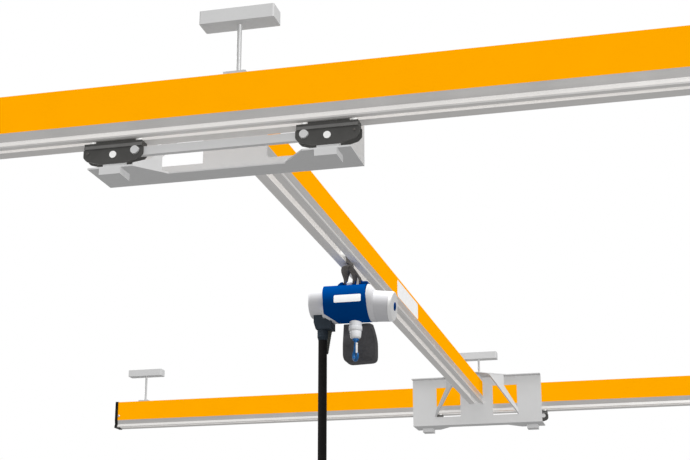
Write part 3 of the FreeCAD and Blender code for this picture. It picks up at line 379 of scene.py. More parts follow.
@dataclass(frozen=True)
class Finish:
    """One surface finish, with the values that its shader takes.

    Attributes:
        name: name of the material.
        colour: linear base colour.
        roughness: mean roughness.
        metallic: how metallic it is.
        specular: specular level.
        swing: change of brightness between patches.
        patch: patches per metre.
        fine: grains per metre of the bump.
        relief: strength of the bump.
        wear: how far edges change to the worn colour.
        worn: colour of worn edges.
        edge: width of the worn edge in metres.
        dust: how much dust lies on upper faces.
        settled: colour of the dust.
        BUMP_DEPTH: height of the bump in metres.
        ROUGH_SWING: change of roughness to either side.
        WEAR_PATCHES: patches per metre that wear is broken up into.
    """

    BUMP_DEPTH: ClassVar[float] = 0.0006
    ROUGH_SWING: ClassVar[float] = 0.05
    WEAR_PATCHES: ClassVar[float] = 60.0

    name: str
    colour: Colour
    roughness: float = 0.5
    metallic: float = 0.0
    specular: float = 0.4
    swing: float = 0.04
    patch: float = 7.0
    fine: float = 900.0
    relief: float = 0.08
    wear: float = 0.0
    worn: Colour = (0.75, 0.75, 0.75)
    edge: float = 0.0015
    dust: float = 0.0
    settled: Colour = (0.62, 0.6, 0.56)

    def base(self, surface: Surface) -> Feed:
        """Base colour before tone, wear and dust."""
        return (*self.colour, 1.0)

    def height(self, surface: Surface, grain: Socket) -> Socket:
        """Height that the bump follows."""
        return grain

    def metal(self, surface: Surface) -> Feed:
        """How metallic the surface is."""
        return self.metallic

    def weathered(self, surface: Surface, tone: Socket) -> Socket:
        """Base colour with patches of tone, worn edges and dust.

        Args:
            surface: the material in the making.
            tone: noise that the patches follow.

        Returns:
            The colour.
        """
        graph = surface.graph
        swing = graph.remap(tone, *NOISE_RANGE, 1.0 - self.swing, 1.0 + self.swing)
        colour = graph.mix(1.0, self.base(surface), swing, "MULTIPLY")
        if self.wear:
            worn = surface.effect(Effect.WEAR, {"Width": self.edge, "Breakup": self.WEAR_PATCHES})["Mask"]
            colour = graph.mix(graph.calc("MULTIPLY", worn, self.wear), colour, (*self.worn, 1.0))
        if self.dust:
            dusty = surface.effect(Effect.DUST, {"Amount": self.dust})["Mask"]
            colour = graph.mix(dusty, colour, (*self.settled, 1.0))
        return colour

    def material(self, effects: EffectLibrary) -> bpy.types.Material:
        """Build the finish's material.

        Args:
            effects: the shared node groups.

        Returns:
            The material.
        """
        material = bpy.data.materials.new(self.name)
        material.use_nodes = True
        graph = Graph(material.node_tree)
        surface = Surface(graph, effects, graph.add("ShaderNodeTexCoord").outputs["Object"])
        grain = surface.effect(Effect.GRAIN, {"Patch": self.patch, "Fine": self.fine})
        smoothest, roughest = self.roughness - self.ROUGH_SWING, self.roughness + self.ROUGH_SWING
        bump = {"Strength": self.relief, "Distance": self.BUMP_DEPTH}
        bump["Height"] = self.height(surface, grain["Height"])
        feeds = {
            "Base Color": self.weathered(surface, grain["Tone"]),
            "Metallic": self.metal(surface),
            "Roughness": graph.remap(grain["Tone"], *NOISE_RANGE, smoothest, roughest),
            "Specular IOR Level": self.specular,
            "Normal": graph.add("ShaderNodeBump", bump).outputs["Normal"],
        }
        shader = graph.tree.nodes["Principled BSDF"]
        for name, value in feeds.items():
            graph.feed(shader.inputs[name], value)
        return material


@dataclass(frozen=True)
class TrackFinish(Finish):
    """Drawn aluminium whose two side faces are painted, with aluminium's values for what every finish has.

    Attributes:
        across: the direction that the painted faces look along.
        centre: middle of the track in that direction.
        reach: distance from the middle beyond which a face is an outer one.
        face_low: level of the painted faces' lower edge.
        paint: colour of the painted faces.
        bounce: colour that these faces throw on their neighbours.
        tops_dust_and_shade: colour of the faces that look up, partly settled dirt and partly painted shade
            that dims them.
        stretch: patches of tone per metre along the track and across it.
        drawn: drawn lines per metre along the track and across it.
    """

    colour: Colour = (0.75, 0.735, 0.72)
    roughness: float = 0.34
    metallic: float = 0.92
    specular: float = 0.0
    swing: float = 0.012
    relief: float = 0.04
    across: Axis = Axis.Y
    centre: float = 0.0
    reach: float = 0.0455
    face_low: float = -0.389
    paint: Colour = (1.0, 0.395, 0.0)
    bounce: Colour = (0.56, 0.5, 0.46)
    tops_dust_and_shade: Colour = (0.36, 0.35, 0.335)
    stretch: tuple[float, float] = (0.6, 30.0)
    drawn: tuple[float, float] = (2.0, 260.0)

    def base(self, surface: Surface) -> Feed:
        """Aluminium with drawn lines, and paint on the outer side faces.

        Args:
            surface: the material in the making.

        Returns:
            The colour.
        """
        graph = surface.graph
        zones = self._zones(surface)
        tone = graph.remap(self._lines(surface)["Tone"], *NOISE_RANGE, 0.95, 1.05)
        # Faces that look up take a darker colour: settled dirt, and painted shade that dims the tops under
        # the overhead light.
        plain = graph.mix(zones["Upper"], (*self.colour, 1.0), (*self.tops_dust_and_shade, 1.0))
        # The paint colours its neighbours less than its own hue would.
        bounced = graph.add("ShaderNodeLightPath").outputs["Is Diffuse Ray"]
        paint = graph.mix(bounced, (*self.paint, 1.0), (*self.bounce, 1.0))
        return graph.mix(zones["Mask"], graph.mix(1.0, plain, tone, "MULTIPLY"), paint)

    def height(self, surface: Surface, grain: Socket) -> Socket:
        """Drawn lines along the track."""
        return self._lines(surface)["Height"]

    def metal(self, surface: Surface) -> Feed:
        """Bright metal everywhere but under the paint and on the matt faces."""
        dull = surface.graph.calc("MAXIMUM", *(self._zones(surface)[name] for name in ("Mask", "Matt")))
        return surface.graph.remap(dull, 0.0, 1.0, self.metallic, 0.0)

    def _zones(self, surface: Surface) -> Sockets:
        """Masks of the painted, the matt and the upper faces."""
        bounds = {"Centre": self.centre, "Reach": self.reach, "Low": self.face_low}
        return surface.effect(Effect.FACES, {"Across": self.across.value, **bounds})

    def _lines(self, surface: Surface) -> Sockets:
        """The drawn lines, stretched along this track."""
        scales = {"Along": self._spread(*self.stretch), "Across": self._spread(*self.drawn)}
        return surface.effect(Effect.LINES, scales)

    def _spread(self, along: float, across: float) -> Point:
        """Factors for a pattern that runs along this track."""
        return (across, along, across) if self.across is Axis.X else (along, across, across)


@dataclass(frozen=True)
class RingedFinish(Finish):
    """A finish on an upright round piece that carries fine level rings.

    Attributes:
        pitch: distance between rings in metres.
    """

    pitch: float = 0.002

    def height(self, surface: Surface, grain: Socket) -> Socket:
        """Rings with a little grain."""
        rings = surface.effect(Effect.RINGS, {"Pitch": self.pitch})["Height"]
        return surface.graph.calc("MULTIPLY_ADD", grain, 0.25, rings)


@dataclass(frozen=True)
class WovenFinish(Finish):
    """Coarse woven fabric.

    Attributes:
        threads: threads per metre.
        light: colour of the raised threads.
    """

    threads: float = 420.0
    light: Colour = (0.1, 0.1, 0.098)

    def base(self, surface: Surface) -> Feed:
        """Two tones of thread."""
        raised = surface.graph.remap(self._cloth(surface)["Tone"], 0.25, 0.75)
        return surface.graph.mix(raised, (*self.colour, 1.0), (*self.light, 1.0))

    def height(self, surface: Surface, grain: Socket) -> Socket:
        """Raised threads."""
        return self._cloth(surface)["Height"]

    def _cloth(self, surface: Surface) -> Sockets:
        """The weave with this cloth's count."""
        return surface.effect(Effect.WEAVE, {"Threads": self.threads})


@dataclass(frozen=True)
class CappedFinish(Finish):
    """A moulded cover whose end, beyond a seam, is a paler cap.

    Attributes:
        start: a point on the cover's axis.
        axis: direction of that axis.
        seam: distance of the seam from the start, along the axis.
        seam_half: half the seam's width.
        cap: colour beyond the seam.
        groove: colour in the seam.
    """

    start: Point = (0.0, 0.0, 0.0)
    axis: Point = (1.0, 0.0, 0.0)
    seam: float = 0.19
    seam_half: float = 0.0006
    cap: Colour = (0.95, 0.95, 0.95)
    groove: Colour = (0.3, 0.3, 0.31)

    def base(self, surface: Surface) -> Feed:
        """Cover, dark seam and paler cap.

        Args:
            surface: the material in the making.

        Returns:
            The colour.
        """
        graph = surface.graph
        seam_at = Vector(self.start).dot(Vector(self.axis)) + self.seam
        past = graph.calc("SUBTRACT", graph.dot(surface.place, self.axis), seam_at)
        shell = graph.mix(graph.calc("GREATER_THAN", past, 0.0), (*self.colour, 1.0), (*self.cap, 1.0))
        in_seam = graph.calc("LESS_THAN", graph.calc("ABSOLUTE", past), self.seam_half)
        return graph.mix(in_seam, shell, (*self.groove, 1.0))


SHEET = Finish(
    "painted_sheet", (0.575, 0.575, 0.575), 0.5, swing=0.02, wear=0.25, fine=1400.0, relief=0.05, dust=0.12
)
RODS = RingedFinish("zinc_rods", (0.55, 0.55, 0.55), 0.38, metallic=0.25, relief=0.12)
ZINC = Finish("zinc_plate", (0.6, 0.6, 0.6), 0.4, metallic=0.45, swing=0.06, patch=40.0, wear=0.2, dust=0.1)
CAPS = Finish("moulded_black", (0.004, 0.004, 0.004), 0.5, specular=0.2, swing=0.1, fine=700.0, relief=0.12)
CASTING = Finish(
    "cast_charcoal", (0.058, 0.057, 0.054), 0.55, specular=0.3, swing=0.08, patch=30.0, fine=1100.0,
    relief=0.22, wear=0.2, worn=(0.16, 0.16, 0.155), dust=0.08,
)
# A lighter copy of the cast charcoal for the deck rims: a painted highlight where light falls on the sloping
# band.
CAST_PAINTED_HIGHLIGHT = Finish("cast_painted_highlight", (0.122, 0.12, 0.116), 0.55, swing=0.06, patch=30.0, fine=1100.0, relief=0.2)
FORGED = Finish(
    "forged_dark", (0.105, 0.097, 0.09), 0.5, specular=0.25, swing=0.08, patch=40.0, relief=0.18,
    wear=0.2, worn=(0.2, 0.19, 0.18), edge=0.001,
)
NYLON = Finish("nylon_white", (0.86, 0.86, 0.85), 0.45, swing=0.02, patch=30.0, fine=1200.0, relief=0.04)
BLUE = Finish("hoist_blue", (0.0, 0.05, 0.235), 0.4, specular=0.0, patch=12.0, relief=0.05)
HOOK_BLUE = Finish(
    "forged_blue", (0.0, 0.1, 0.31), 0.42, swing=0.12, patch=60.0, fine=500.0, relief=0.2,
    wear=0.35, worn=(0.25, 0.3, 0.36), edge=0.001,
)
COVER = Finish("cover_white", (0.7, 0.7, 0.72), 0.42, specular=0.15, swing=0.015, patch=12.0, relief=0.04)
SLEEVE = Finish("sleeve_white", (0.71, 0.715, 0.73), 0.4, specular=0.2, swing=0.02, patch=30.0, relief=0.04)
LABEL = Finish("label_white", (0.93, 0.93, 0.93), 0.35, specular=0.35, swing=0.012, patch=30.0, relief=0.03)
RUBBER = Finish(
    "moulded_slate", (0.028, 0.039, 0.052), 0.6, specular=0.12, swing=0.12, patch=40.0, fine=800.0,
    relief=0.15,
)
RELIEF = replace(RUBBER, name="moulded_olive", colour=(0.09, 0.092, 0.08), roughness=0.65)
SHEATH = RingedFinish(
    "cable_sheath", (0.011, 0.0102, 0.0098), 0.6, specular=0.08, swing=0.2, patch=40.0, relief=0.12,
    pitch=0.004,
)
PENDANT = Finish("pendant_shell", (0.03, 0.031, 0.034), 0.48, swing=0.1, patch=40.0, relief=0.12)
KEYS = Finish("pendant_keys", (0.5, 0.5, 0.5), 0.4, swing=0.05, patch=60.0)
STOP = Finish("stop_key", (0.5, 0.012, 0.01), 0.35, swing=0.05, patch=60.0)
BAG = WovenFinish(
    "bag_fabric", (0.07, 0.069, 0.072), 0.85, specular=0.1, swing=0.1, patch=25.0, relief=0.35,
    light=(0.11, 0.108, 0.112),
)
HEM = WovenFinish(
    "bag_webbing", (0.03, 0.03, 0.03), 0.8, specular=0.15, swing=0.08, patch=40.0, relief=0.4, threads=700.0
)
LATCH = Finish("latch_zinc", (0.74, 0.74, 0.74), 0.32, metallic=0.4, swing=0.06, patch=90.0, wear=0.2)


class Paintbox:
    """Materials made from finishes, each made once."""

    def __init__(self) -> None:
        """Start with no materials."""
        self._effects = EffectLibrary()
        self._made: dict[str, bpy.types.Material] = {}

    def __getitem__(self, finish: Finish) -> bpy.types.Material:
        """The material of a finish.

        Args:
            finish: the finish.

        Returns:
            Its material, new or made before.
        """
        if finish.name not in self._made:
            self._made[finish.name] = finish.material(self._effects)
        return self._made[finish.name]

    def dress(self, finish: Finish, *names: str) -> None:
        """Give CAD nodes a finish.

        Args:
            finish: the finish.
            *names: the nodes' names.
        """
        for name in names:
            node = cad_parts[name]
            node.data.materials.clear()
            node.data.materials.append(self[finish])
            LOG.info("dressed %s in %s", name, finish.name)


class Solid:
    """A bmesh in the making, with the few operations that the fittings need.

    Attributes:
        CROWN_START: share of a hexagonal head's height where its chamfer starts.
        CROWN_FACE: its top face as a share of its radius.
    """

    CROWN_START: ClassVar[float] = 0.82
    CROWN_FACE: ClassVar[float] = 0.84

    def __init__(self) -> None:
        """Start empty."""
        self.mesh = bmesh.new()

    def block(self, low: Point, high: Point) -> Verts:
        """Add a block.

        Args:
            low: its lowest corner.
            high: its highest corner.

        Returns:
            Its vertices.
        """
        middle = (Vector(low) + Vector(high)) / 2
        size = Vector(high) - Vector(low)
        matrix = Matrix.Translation(middle) @ Matrix.Diagonal((*size, 1.0))
        return bmesh.ops.create_cube(self.mesh, size=1.0, matrix=matrix)["verts"]

    def turned(self, profile: Profile, base: Point, axis: Point, steps: int = 40) -> None:
        """Spin a profile about an axis.

        Args:
            profile: distances along the axis with radii there.
            base: where the axis starts.
            axis: its direction.
            steps: steps round the axis.
        """
        known = set(self.mesh.verts)
        points = [self.mesh.verts.new((radius, 0.0, along)) for along, radius in profile]
        edges = [self.mesh.edges.new(pair) for pair in zip(points, points[1:])]
        bmesh.ops.spin(
            self.mesh, geom=points + edges, cent=(0, 0, 0), axis=UP, angle=math.tau, steps=steps,
            use_merge=True,
        )
        # Points on the axis are swept onto themselves, so their copies are merged again.
        bmesh.ops.remove_doubles(self.mesh, verts=[v for v in self.mesh.verts if v not in known], dist=TINY)
        turn = Vector(UP).rotation_difference(Vector(axis)).to_matrix().to_4x4()
        made = [v for v in self.mesh.verts if v not in known]
        bmesh.ops.transform(self.mesh, matrix=Matrix.Translation(base) @ turn, verts=made)

    def prism(self, outline: Sequence[Point], sweep: Point) -> Verts:
        """Extrude a flat outline.

        Args:
            outline: its corners in order.
            sweep: how far and where to extrude it.

        Returns:
            The vertices of the prism.
        """
        corners = [self.mesh.verts.new(p) for p in outline]
        face = self.mesh.faces.new(corners)
        grown = bmesh.ops.extrude_face_region(self.mesh, geom=[face], use_keep_orig=True)["geom"]
        ends = [g for g in grown if isinstance(g, bmesh.types.BMVert)]
        bmesh.ops.translate(self.mesh, verts=ends, vec=sweep)
        return corners + ends

    def hexagon(self, base: Point, flats: float, height: float) -> None:
        """Add an upright hexagonal head with a chamfered crown.

        Args:
            base: middle of its seat.
            flats: size across flats.
            height: its height.
        """
        radius = flats / math.sqrt(3)
        crown = (height * self.CROWN_START, radius), (height, radius * self.CROWN_FACE), (height, 0.0)
        self.turned(((0.0, 0.0), (0.0, radius), *crown), base, UP, steps=6)

    def bevel(self, geom: Sequence, width: float, segments: int, what: Rounding = Rounding.EDGES) -> None:
        """Round some edges, or some corners of a sheet.

        Args:
            geom: the edges or corners.
            width: how far from them the rounding starts.
            segments: steps of the rounding.
            what: whether these are edges or corners.
        """
        bmesh.ops.bevel(
            self.mesh, geom=geom, offset=width, offset_type="OFFSET", affect=what.value,
            segments=segments, profile=0.5, material=-1, clamp_overlap=True,
        )

    def soften(self, verts: Verts, width: float, segments: int, sharp: float) -> None:
        """Round the sharp edges among some vertices.

        Args:
            verts: the vertices.
            width: how far from the edge the rounding starts.
            segments: steps of the rounding.
            sharp: angle in degrees from which an edge counts as sharp.
        """
        self.mesh.normal_update()
        limit = math.radians(sharp)
        paired = [e for e in self.edges_among(verts) if len(e.link_faces) == 2]
        self.bevel([e for e in paired if e.calc_face_angle() > limit], width, segments)

    def edges_among(self, verts: Verts) -> Edges:
        """Edges whose two ends are both among some vertices."""
        among = set(verts)
        return [e for e in self.mesh.edges if among.issuperset(e.verts)]

    def edges_along(self, verts: Verts, axis: Axis) -> Edges:
        """Edges among some vertices of a block or prism that run along an axis."""
        way = Vector(axis.value)
        return [e for e in self.edges_among(verts) if abs((e.verts[1].co - e.verts[0].co).dot(way)) > TINY]

    def thicken(self, thickness: float) -> None:
        """Turn an open sheet into a thin wall, with its faces made to look outwards first."""
        bmesh.ops.recalc_face_normals(self.mesh, faces=self.mesh.faces)
        bmesh.ops.solidify(self.mesh, geom=self.mesh.faces[:], thickness=thickness)

    def finish(self, name: str, material: bpy.types.Material, smooth: float) -> bpy.types.Object:
        """Make the object.

        Args:
            name: the piece's name.
            material: its material.
            smooth: angle in degrees up to which edges are shaded smooth.

        Returns:
            The new object, linked to the scene.
        """
        bmesh.ops.recalc_face_normals(self.mesh, faces=self.mesh.faces)
        data = bpy.data.meshes.new(name)
        self.mesh.to_mesh(data)
        self.mesh.free()
        data.materials.append(material)
        data.polygons.foreach_set("use_smooth", [True] * len(data.polygons))
        data.set_sharp_from_angle(angle=math.radians(smooth))
        piece = bpy.data.objects.new(name, data)
        bpy.context.scene.collection.objects.link(piece)
        return piece


@dataclass
class Assembly:
    """A sub-assembly whose pieces ride on one body.

    Attributes:
        body: what the pieces move with.
        paints: where materials come from.
    """

    body: ClassVar[Body]

    paints: Paintbox

    def settle(self, piece: bpy.types.Object, slot: Slot, *nodes: str) -> bpy.types.Object:
        """Let a finished piece ride on the body.

        Args:
            piece: the piece, in place.
            slot: the material slot that it belongs to; not used.
            *nodes: CAD nodes that it stands for.

        Returns:
            The same piece.
        """
        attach(piece, self.body.value)
        if nodes:
            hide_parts(*nodes)
        LOG.info("built %s on %s", piece.name, self.body.value)
        return piece

    def keep(
        self, solid: Solid, name: str, finish: Finish, slot: Slot, *nodes: str, smooth: float = 40.0
    ) -> bpy.types.Object:
        """Make a solid a named piece of this sub-assembly, standing for some CAD nodes or none."""
        return self.settle(solid.finish(name, self.paints[finish], smooth), slot, *nodes)


@dataclass
class Runway(Assembly):
    """One runway: painted track, end caps, hangers and their small fasteners.

    Attributes:
        row: front or rear.
        y: middle of the track.
        ends: X of the track's two ends.
        hangers: X of the three rods.
        clamp_top: level of the track clamps' upper faces.
        washer: profile of the washer under a rod's nut.
        nut: size across flats and height of that nut.
        screw: size across flats and height of a clamp's screw.
        screw_reach: these screws from the rod, along the track and across it.
        face: painted faces from the track's middle.
        bolt_level: level of the end stops' bolts.
        bolt_inset: these bolts from the track's end.
        bolt_head: profile of their button heads.
    """

    body: ClassVar[Body] = Body.RUNWAYS

    row: Row
    y: float
    ends: tuple[float, float]
    hangers: Sequence[float]
    clamp_top: float = -0.241
    washer: Profile = (
        (0.0, 0.0082), (0.0, 0.016), (0.0022, 0.016), (0.003, 0.0152), (0.003, 0.0082), (0.0, 0.0082),
    )
    nut: tuple[float, float] = (0.024, 0.0125)
    screw: tuple[float, float] = (0.010, 0.004)
    screw_reach: tuple[float, float] = (0.029, 0.036)
    face: float = 0.047
    bolt_level: float = -0.356
    bolt_inset: float = 0.009
    bolt_head: Profile = (
        (0.0, 0.0), (0.0, 0.0088), (0.001, 0.0088), (0.0028, 0.0076), (0.0045, 0.0038), (0.0045, 0.0),
    )

    def build(self) -> None:
        """Dress the nodes and add the fasteners."""
        row = self.row.value
        self.paints.dress(TrackFinish(f"{row}_track", centre=self.y), f"{row}_runway_track")
        self.paints.dress(CAPS, f"{row}_end_caps")
        self.paints.dress(RODS, f"{row}_hanger_rods")
        self.paints.dress(ZINC, f"{row}_track_clamps")
        self.paints.dress(SHEET, f"{row}_middle_bracket", f"{row}_outer_brackets")
        self.hanger_nuts()
        self.stop_bolts()

    def hanger_nuts(self) -> None:
        """Washer and nut of each rod on its clamp, with four low screws in the clamp's corners."""
        solid = Solid()
        washer_top = self.clamp_top + self.washer[-2][0]
        along, across = self.screw_reach
        for x in self.hangers:
            solid.turned(self.washer, (x, self.y, self.clamp_top), UP, steps=36)
            solid.hexagon((x, self.y, washer_top), *self.nut)
            for side, face in product(SIDES, SIDES):
                place = (x + along * side, self.y + across * face, self.clamp_top)
                solid.hexagon(place, *self.screw)
        self.keep(solid, f"{self.row.value}_hanger_nuts", ZINC, Slot.ZINC, smooth=30.0)

    def stop_bolts(self) -> None:
        """Button heads of the end stops, on both painted faces near each end."""
        solid = Solid()
        first, last = self.ends
        for x, side in product((first + self.bolt_inset, last - self.bolt_inset), SIDES):
            seat = (x, self.y + self.face * side, self.bolt_level)
            solid.turned(self.bolt_head, seat, (0.0, side, 0.0), steps=24)
        self.keep(solid, f"{self.row.value}_stop_bolts", ZINC, Slot.ZINC, smooth=35.0)


@dataclass
class Carriage(Assembly):
    """One end carriage: sheet frame, braces, trolleys, link bar and saddles.

    Attributes:
        row: front or rear.
        y: middle of its track.
        brace_foot: X of a brace's foot from the girder's middle.
        brace_head: X of a brace's head from there.
        middle: X of the girder's middle.
        offset: trolleys from that middle.
        pin_level: level of the load pins.
        plate_reach: the sheet plate's face on the girder's side, from the track's middle.
        deck_half: half a trolley deck's length.
        deck_face: a deck's side from the track's middle.
        rim_low: lower edge of a deck's rim above the load pin.
        rim: height and depth of that rim, and height of its lower edge.
        plates: half the distance over a trolley's side plates.
        hole_rise: end holes and end screws above the load pin.
        hole_reach: end holes from the load pin, along the track.
        screw_reach: end screws from the load pin, along the track.
        screw_head: profile of an end screw's head.
        link_seat: inner end of a link pin from the track's middle.
        link_head: profile of a link pin's head.
        lip_run: a brace lip's start and end from the plate, across it.
        lip_rise: levels of that start and end.
        lip: width and thickness of the lip.
        lip_share: share of the brace's length that it follows.
        nose_reach: start and end of the flange's nose from the plate.
        nose_half: half its width there.
        nose_low: level of its underside.
        nose_height: its thickness.
        clamp_inset: clamp screws from the clamp's edges.
        clamp_screw: their size across flats and height.
    """

    body: ClassVar[Body] = Body.BRIDGE

    row: Row
    y: float
    brace_foot: float
    brace_head: float
    middle: float = -0.06
    offset: float = 0.38
    pin_level: float = -0.494
    plate_reach: float = 0.160
    deck_half: float = 0.106
    deck_face: float = 0.023
    rim_low: float = 0.0235
    rim: tuple[float, float, float] = (0.0125, 0.0035, 0.001)
    plates: float = 0.0225
    hole_rise: float = 0.009
    hole_reach: float = 0.080
    screw_reach: float = 0.093
    screw_head: Profile = (
        (0.0, 0.0), (0.0, 0.0045), (0.0016, 0.0045), (0.0028, 0.0036), (0.0028, 0.0022), (0.0016, 0.0019),
        (0.0016, 0.0),
    )
    link_seat: float = 0.0108
    link_head: Profile = ((0.0, 0.0), (0.0, 0.0146), (0.0158, 0.0146), (0.0168, 0.0138), (0.0168, 0.0))
    lip_run: tuple[float, float] = (0.0045, 0.1303)
    lip_rise: tuple[float, float] = (-0.488, -0.215)
    lip: tuple[float, float] = (0.016, 0.0025)
    lip_share: float = 0.97
    nose_reach: tuple[float, float] = (0.1361, 0.193)
    nose_half: tuple[float, float] = (0.112, 0.052)
    nose_low: float = -0.2148
    nose_height: float = 0.0056
    clamp_inset: tuple[float, float] = (0.014, 0.022)
    clamp_screw: tuple[float, float] = (0.013, 0.0055)

    def build(self) -> None:
        """Dress the nodes and add the trolleys' and the frame's trim."""
        row = self.row.value
        sheets = ("carriage_frame", "carriage_braces", "girder_clamp", "saddles", "trolley_link")
        rollers = ("trolley_wheels", "guide_rollers", "load_pins")
        self.paints.dress(SHEET, *(f"{row}_{name}" for name in sheets))
        self.paints.dress(CASTING, f"{row}_left_trolley", f"{row}_right_trolley")
        self.paints.dress(NYLON, *(f"{row}_{name}" for name in rollers))
        self.deck_rims()
        self.end_screws()
        self.clamp_screws()
        self.link_pins()
        self.brace_lips()
        self.flange_nose()

    @property
    def inward(self) -> float:
        """Sign of the way from the track to the girder's middle."""
        return 1.0 if self.row is Row.FRONT else -1.0

    @property
    def plate(self) -> float:
        """Y of the sheet plate's face on the girder's side."""
        return self.y + self.plate_reach * self.inward

    def deck_rims(self) -> None:
        """Sloping rims along the lower edges of the trolleys' decks, in a lighter copy of the cast charcoal:
        a painted highlight.
        """
        solid = Solid()
        low = self.pin_level + self.rim_low
        height, depth, edge = self.rim
        for side, face in product(SIDES, SIDES):
            start = self.middle + self.offset * side - self.deck_half
            wall = self.y + self.deck_face * face
            tip = wall + depth * face
            section = ((wall, low + height), (tip, low + edge), (tip, low), (wall, low))
            solid.prism([(start, y, z) for y, z in section], (self.deck_half * 2, 0.0, 0.0))
        # The rims are painted lighter than the casting they belong to, as a painted highlight.
        self.keep(solid, f"{self.row.value}_deck_rims", CAST_PAINTED_HIGHLIGHT, Slot.CASTING, smooth=20.0)

    def end_screws(self) -> None:
        """Small screws at the outer end of each trolley's side plates."""
        solid = Solid()
        for side, face in product(SIDES, SIDES):
            x = self.middle + (self.offset + self.screw_reach) * side
            seat = (x, self.y + self.plates * face, self.pin_level + self.hole_rise)
            solid.turned(self.screw_head, seat, (0.0, face, 0.0), steps=20)
        self.keep(solid, f"{self.row.value}_end_screws", FORGED, Slot.ZINC, smooth=35.0)

    def link_pins(self) -> None:
        """Broad heads of the pins that join the link bar to the trolleys, in the plates' end holes."""
        solid = Solid()
        for side, face in product(SIDES, SIDES):
            x = self.middle + (self.offset + self.hole_reach * face * self.inward) * side
            seat = (x, self.y + self.link_seat * face, self.pin_level + self.hole_rise)
            solid.turned(self.link_head, seat, (0.0, face, 0.0))
        self.keep(solid, f"{self.row.value}_link_pins", SHEET, Slot.SHEET, smooth=35.0)

    def brace_lips(self) -> None:
        """Folded lips along the lower edges of the two braces, on the side of the girder."""
        solid = Solid()
        width, thickness = self.lip
        start, end = (self.plate + reach * self.inward for reach in self.lip_run)
        for side in SIDES:
            foot = Vector((self.middle + self.brace_foot * side, start, self.lip_rise[0]))
            head = Vector((self.middle + self.brace_head * side, end, self.lip_rise[1]))
            run = head - foot
            inner = Vector(UP).cross(run).normalized() * -side * self.inward
            up = run.cross(inner).normalized()
            up *= math.copysign(thickness, up.z)
            tip = foot + inner * width
            solid.prism((foot, tip, tip + up, foot + up), run * self.lip_share)
        self.keep(solid, f"{self.row.value}_brace_lips", SHEET, Slot.SHEET, smooth=30.0)

    def flange_nose(self) -> None:
        """Nose of the top flange that runs out over the girder."""
        solid = Solid()
        start, end = (self.plate + reach * self.inward for reach in self.nose_reach)
        wide, narrow = self.nose_half
        corners = ((-wide, start), (wide, start), (narrow, end), (-narrow, end))
        outline = [(self.middle + x, y, self.nose_low) for x, y in corners]
        verts = solid.prism(outline, (0.0, 0.0, self.nose_height))
        solid.soften(verts, width=0.0006, segments=1, sharp=60.0)
        self.keep(solid, f"{self.row.value}_flange_nose", SHEET, Slot.SHEET, smooth=30.0)

    def clamp_screws(self) -> None:
        """Hexagon screws on top of the clamp that holds the girder."""
        solid = Solid()
        low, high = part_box(f"{self.row.value}_girder_clamp")
        along, across = self.clamp_inset
        for x, y in product((low.x + along, high.x - along), (low.y + across, high.y - across)):
            solid.hexagon((x, y, high.z), *self.clamp_screw)
        self.keep(solid, f"{self.row.value}_clamp_screws", ZINC, Slot.ZINC, smooth=30.0)


@dataclass
class Girder(Assembly):
    """The girder between the carriages, with a bare label on its right face.

    Attributes:
        middle: X of its middle.
        face: X of its right painted face.
        face_low: level of the painted faces' lower edge.
        label_run: Y of the label's ends.
        label_rise: levels of the label's edges.
        label_thickness: its thickness.
        label_corner: radius of its corners.
    """

    body: ClassVar[Body] = Body.BRIDGE

    middle: float = -0.06
    face: float = -0.013
    face_low: float = -0.350
    label_run: tuple[float, float] = (2.66, 3.20)
    label_rise: tuple[float, float] = (-0.347, -0.259)
    label_thickness: float = 0.0008
    label_corner: float = 0.012

    def build(self) -> None:
        """Dress the girder and lay its label on."""
        track = TrackFinish("girder_track", across=Axis.X, centre=self.middle, face_low=self.face_low)
        self.paints.dress(track, "girder")
        solid = Solid()
        low = (self.face, self.label_run[0], self.label_rise[0])
        high = (self.face + self.label_thickness, self.label_run[1], self.label_rise[1])
        verts = solid.block(low, high)
        solid.bevel(solid.edges_along(verts, Axis.X), self.label_corner, segments=6)
        self.keep(solid, "girder_label", LABEL, Slot.COVER, smooth=30.0)


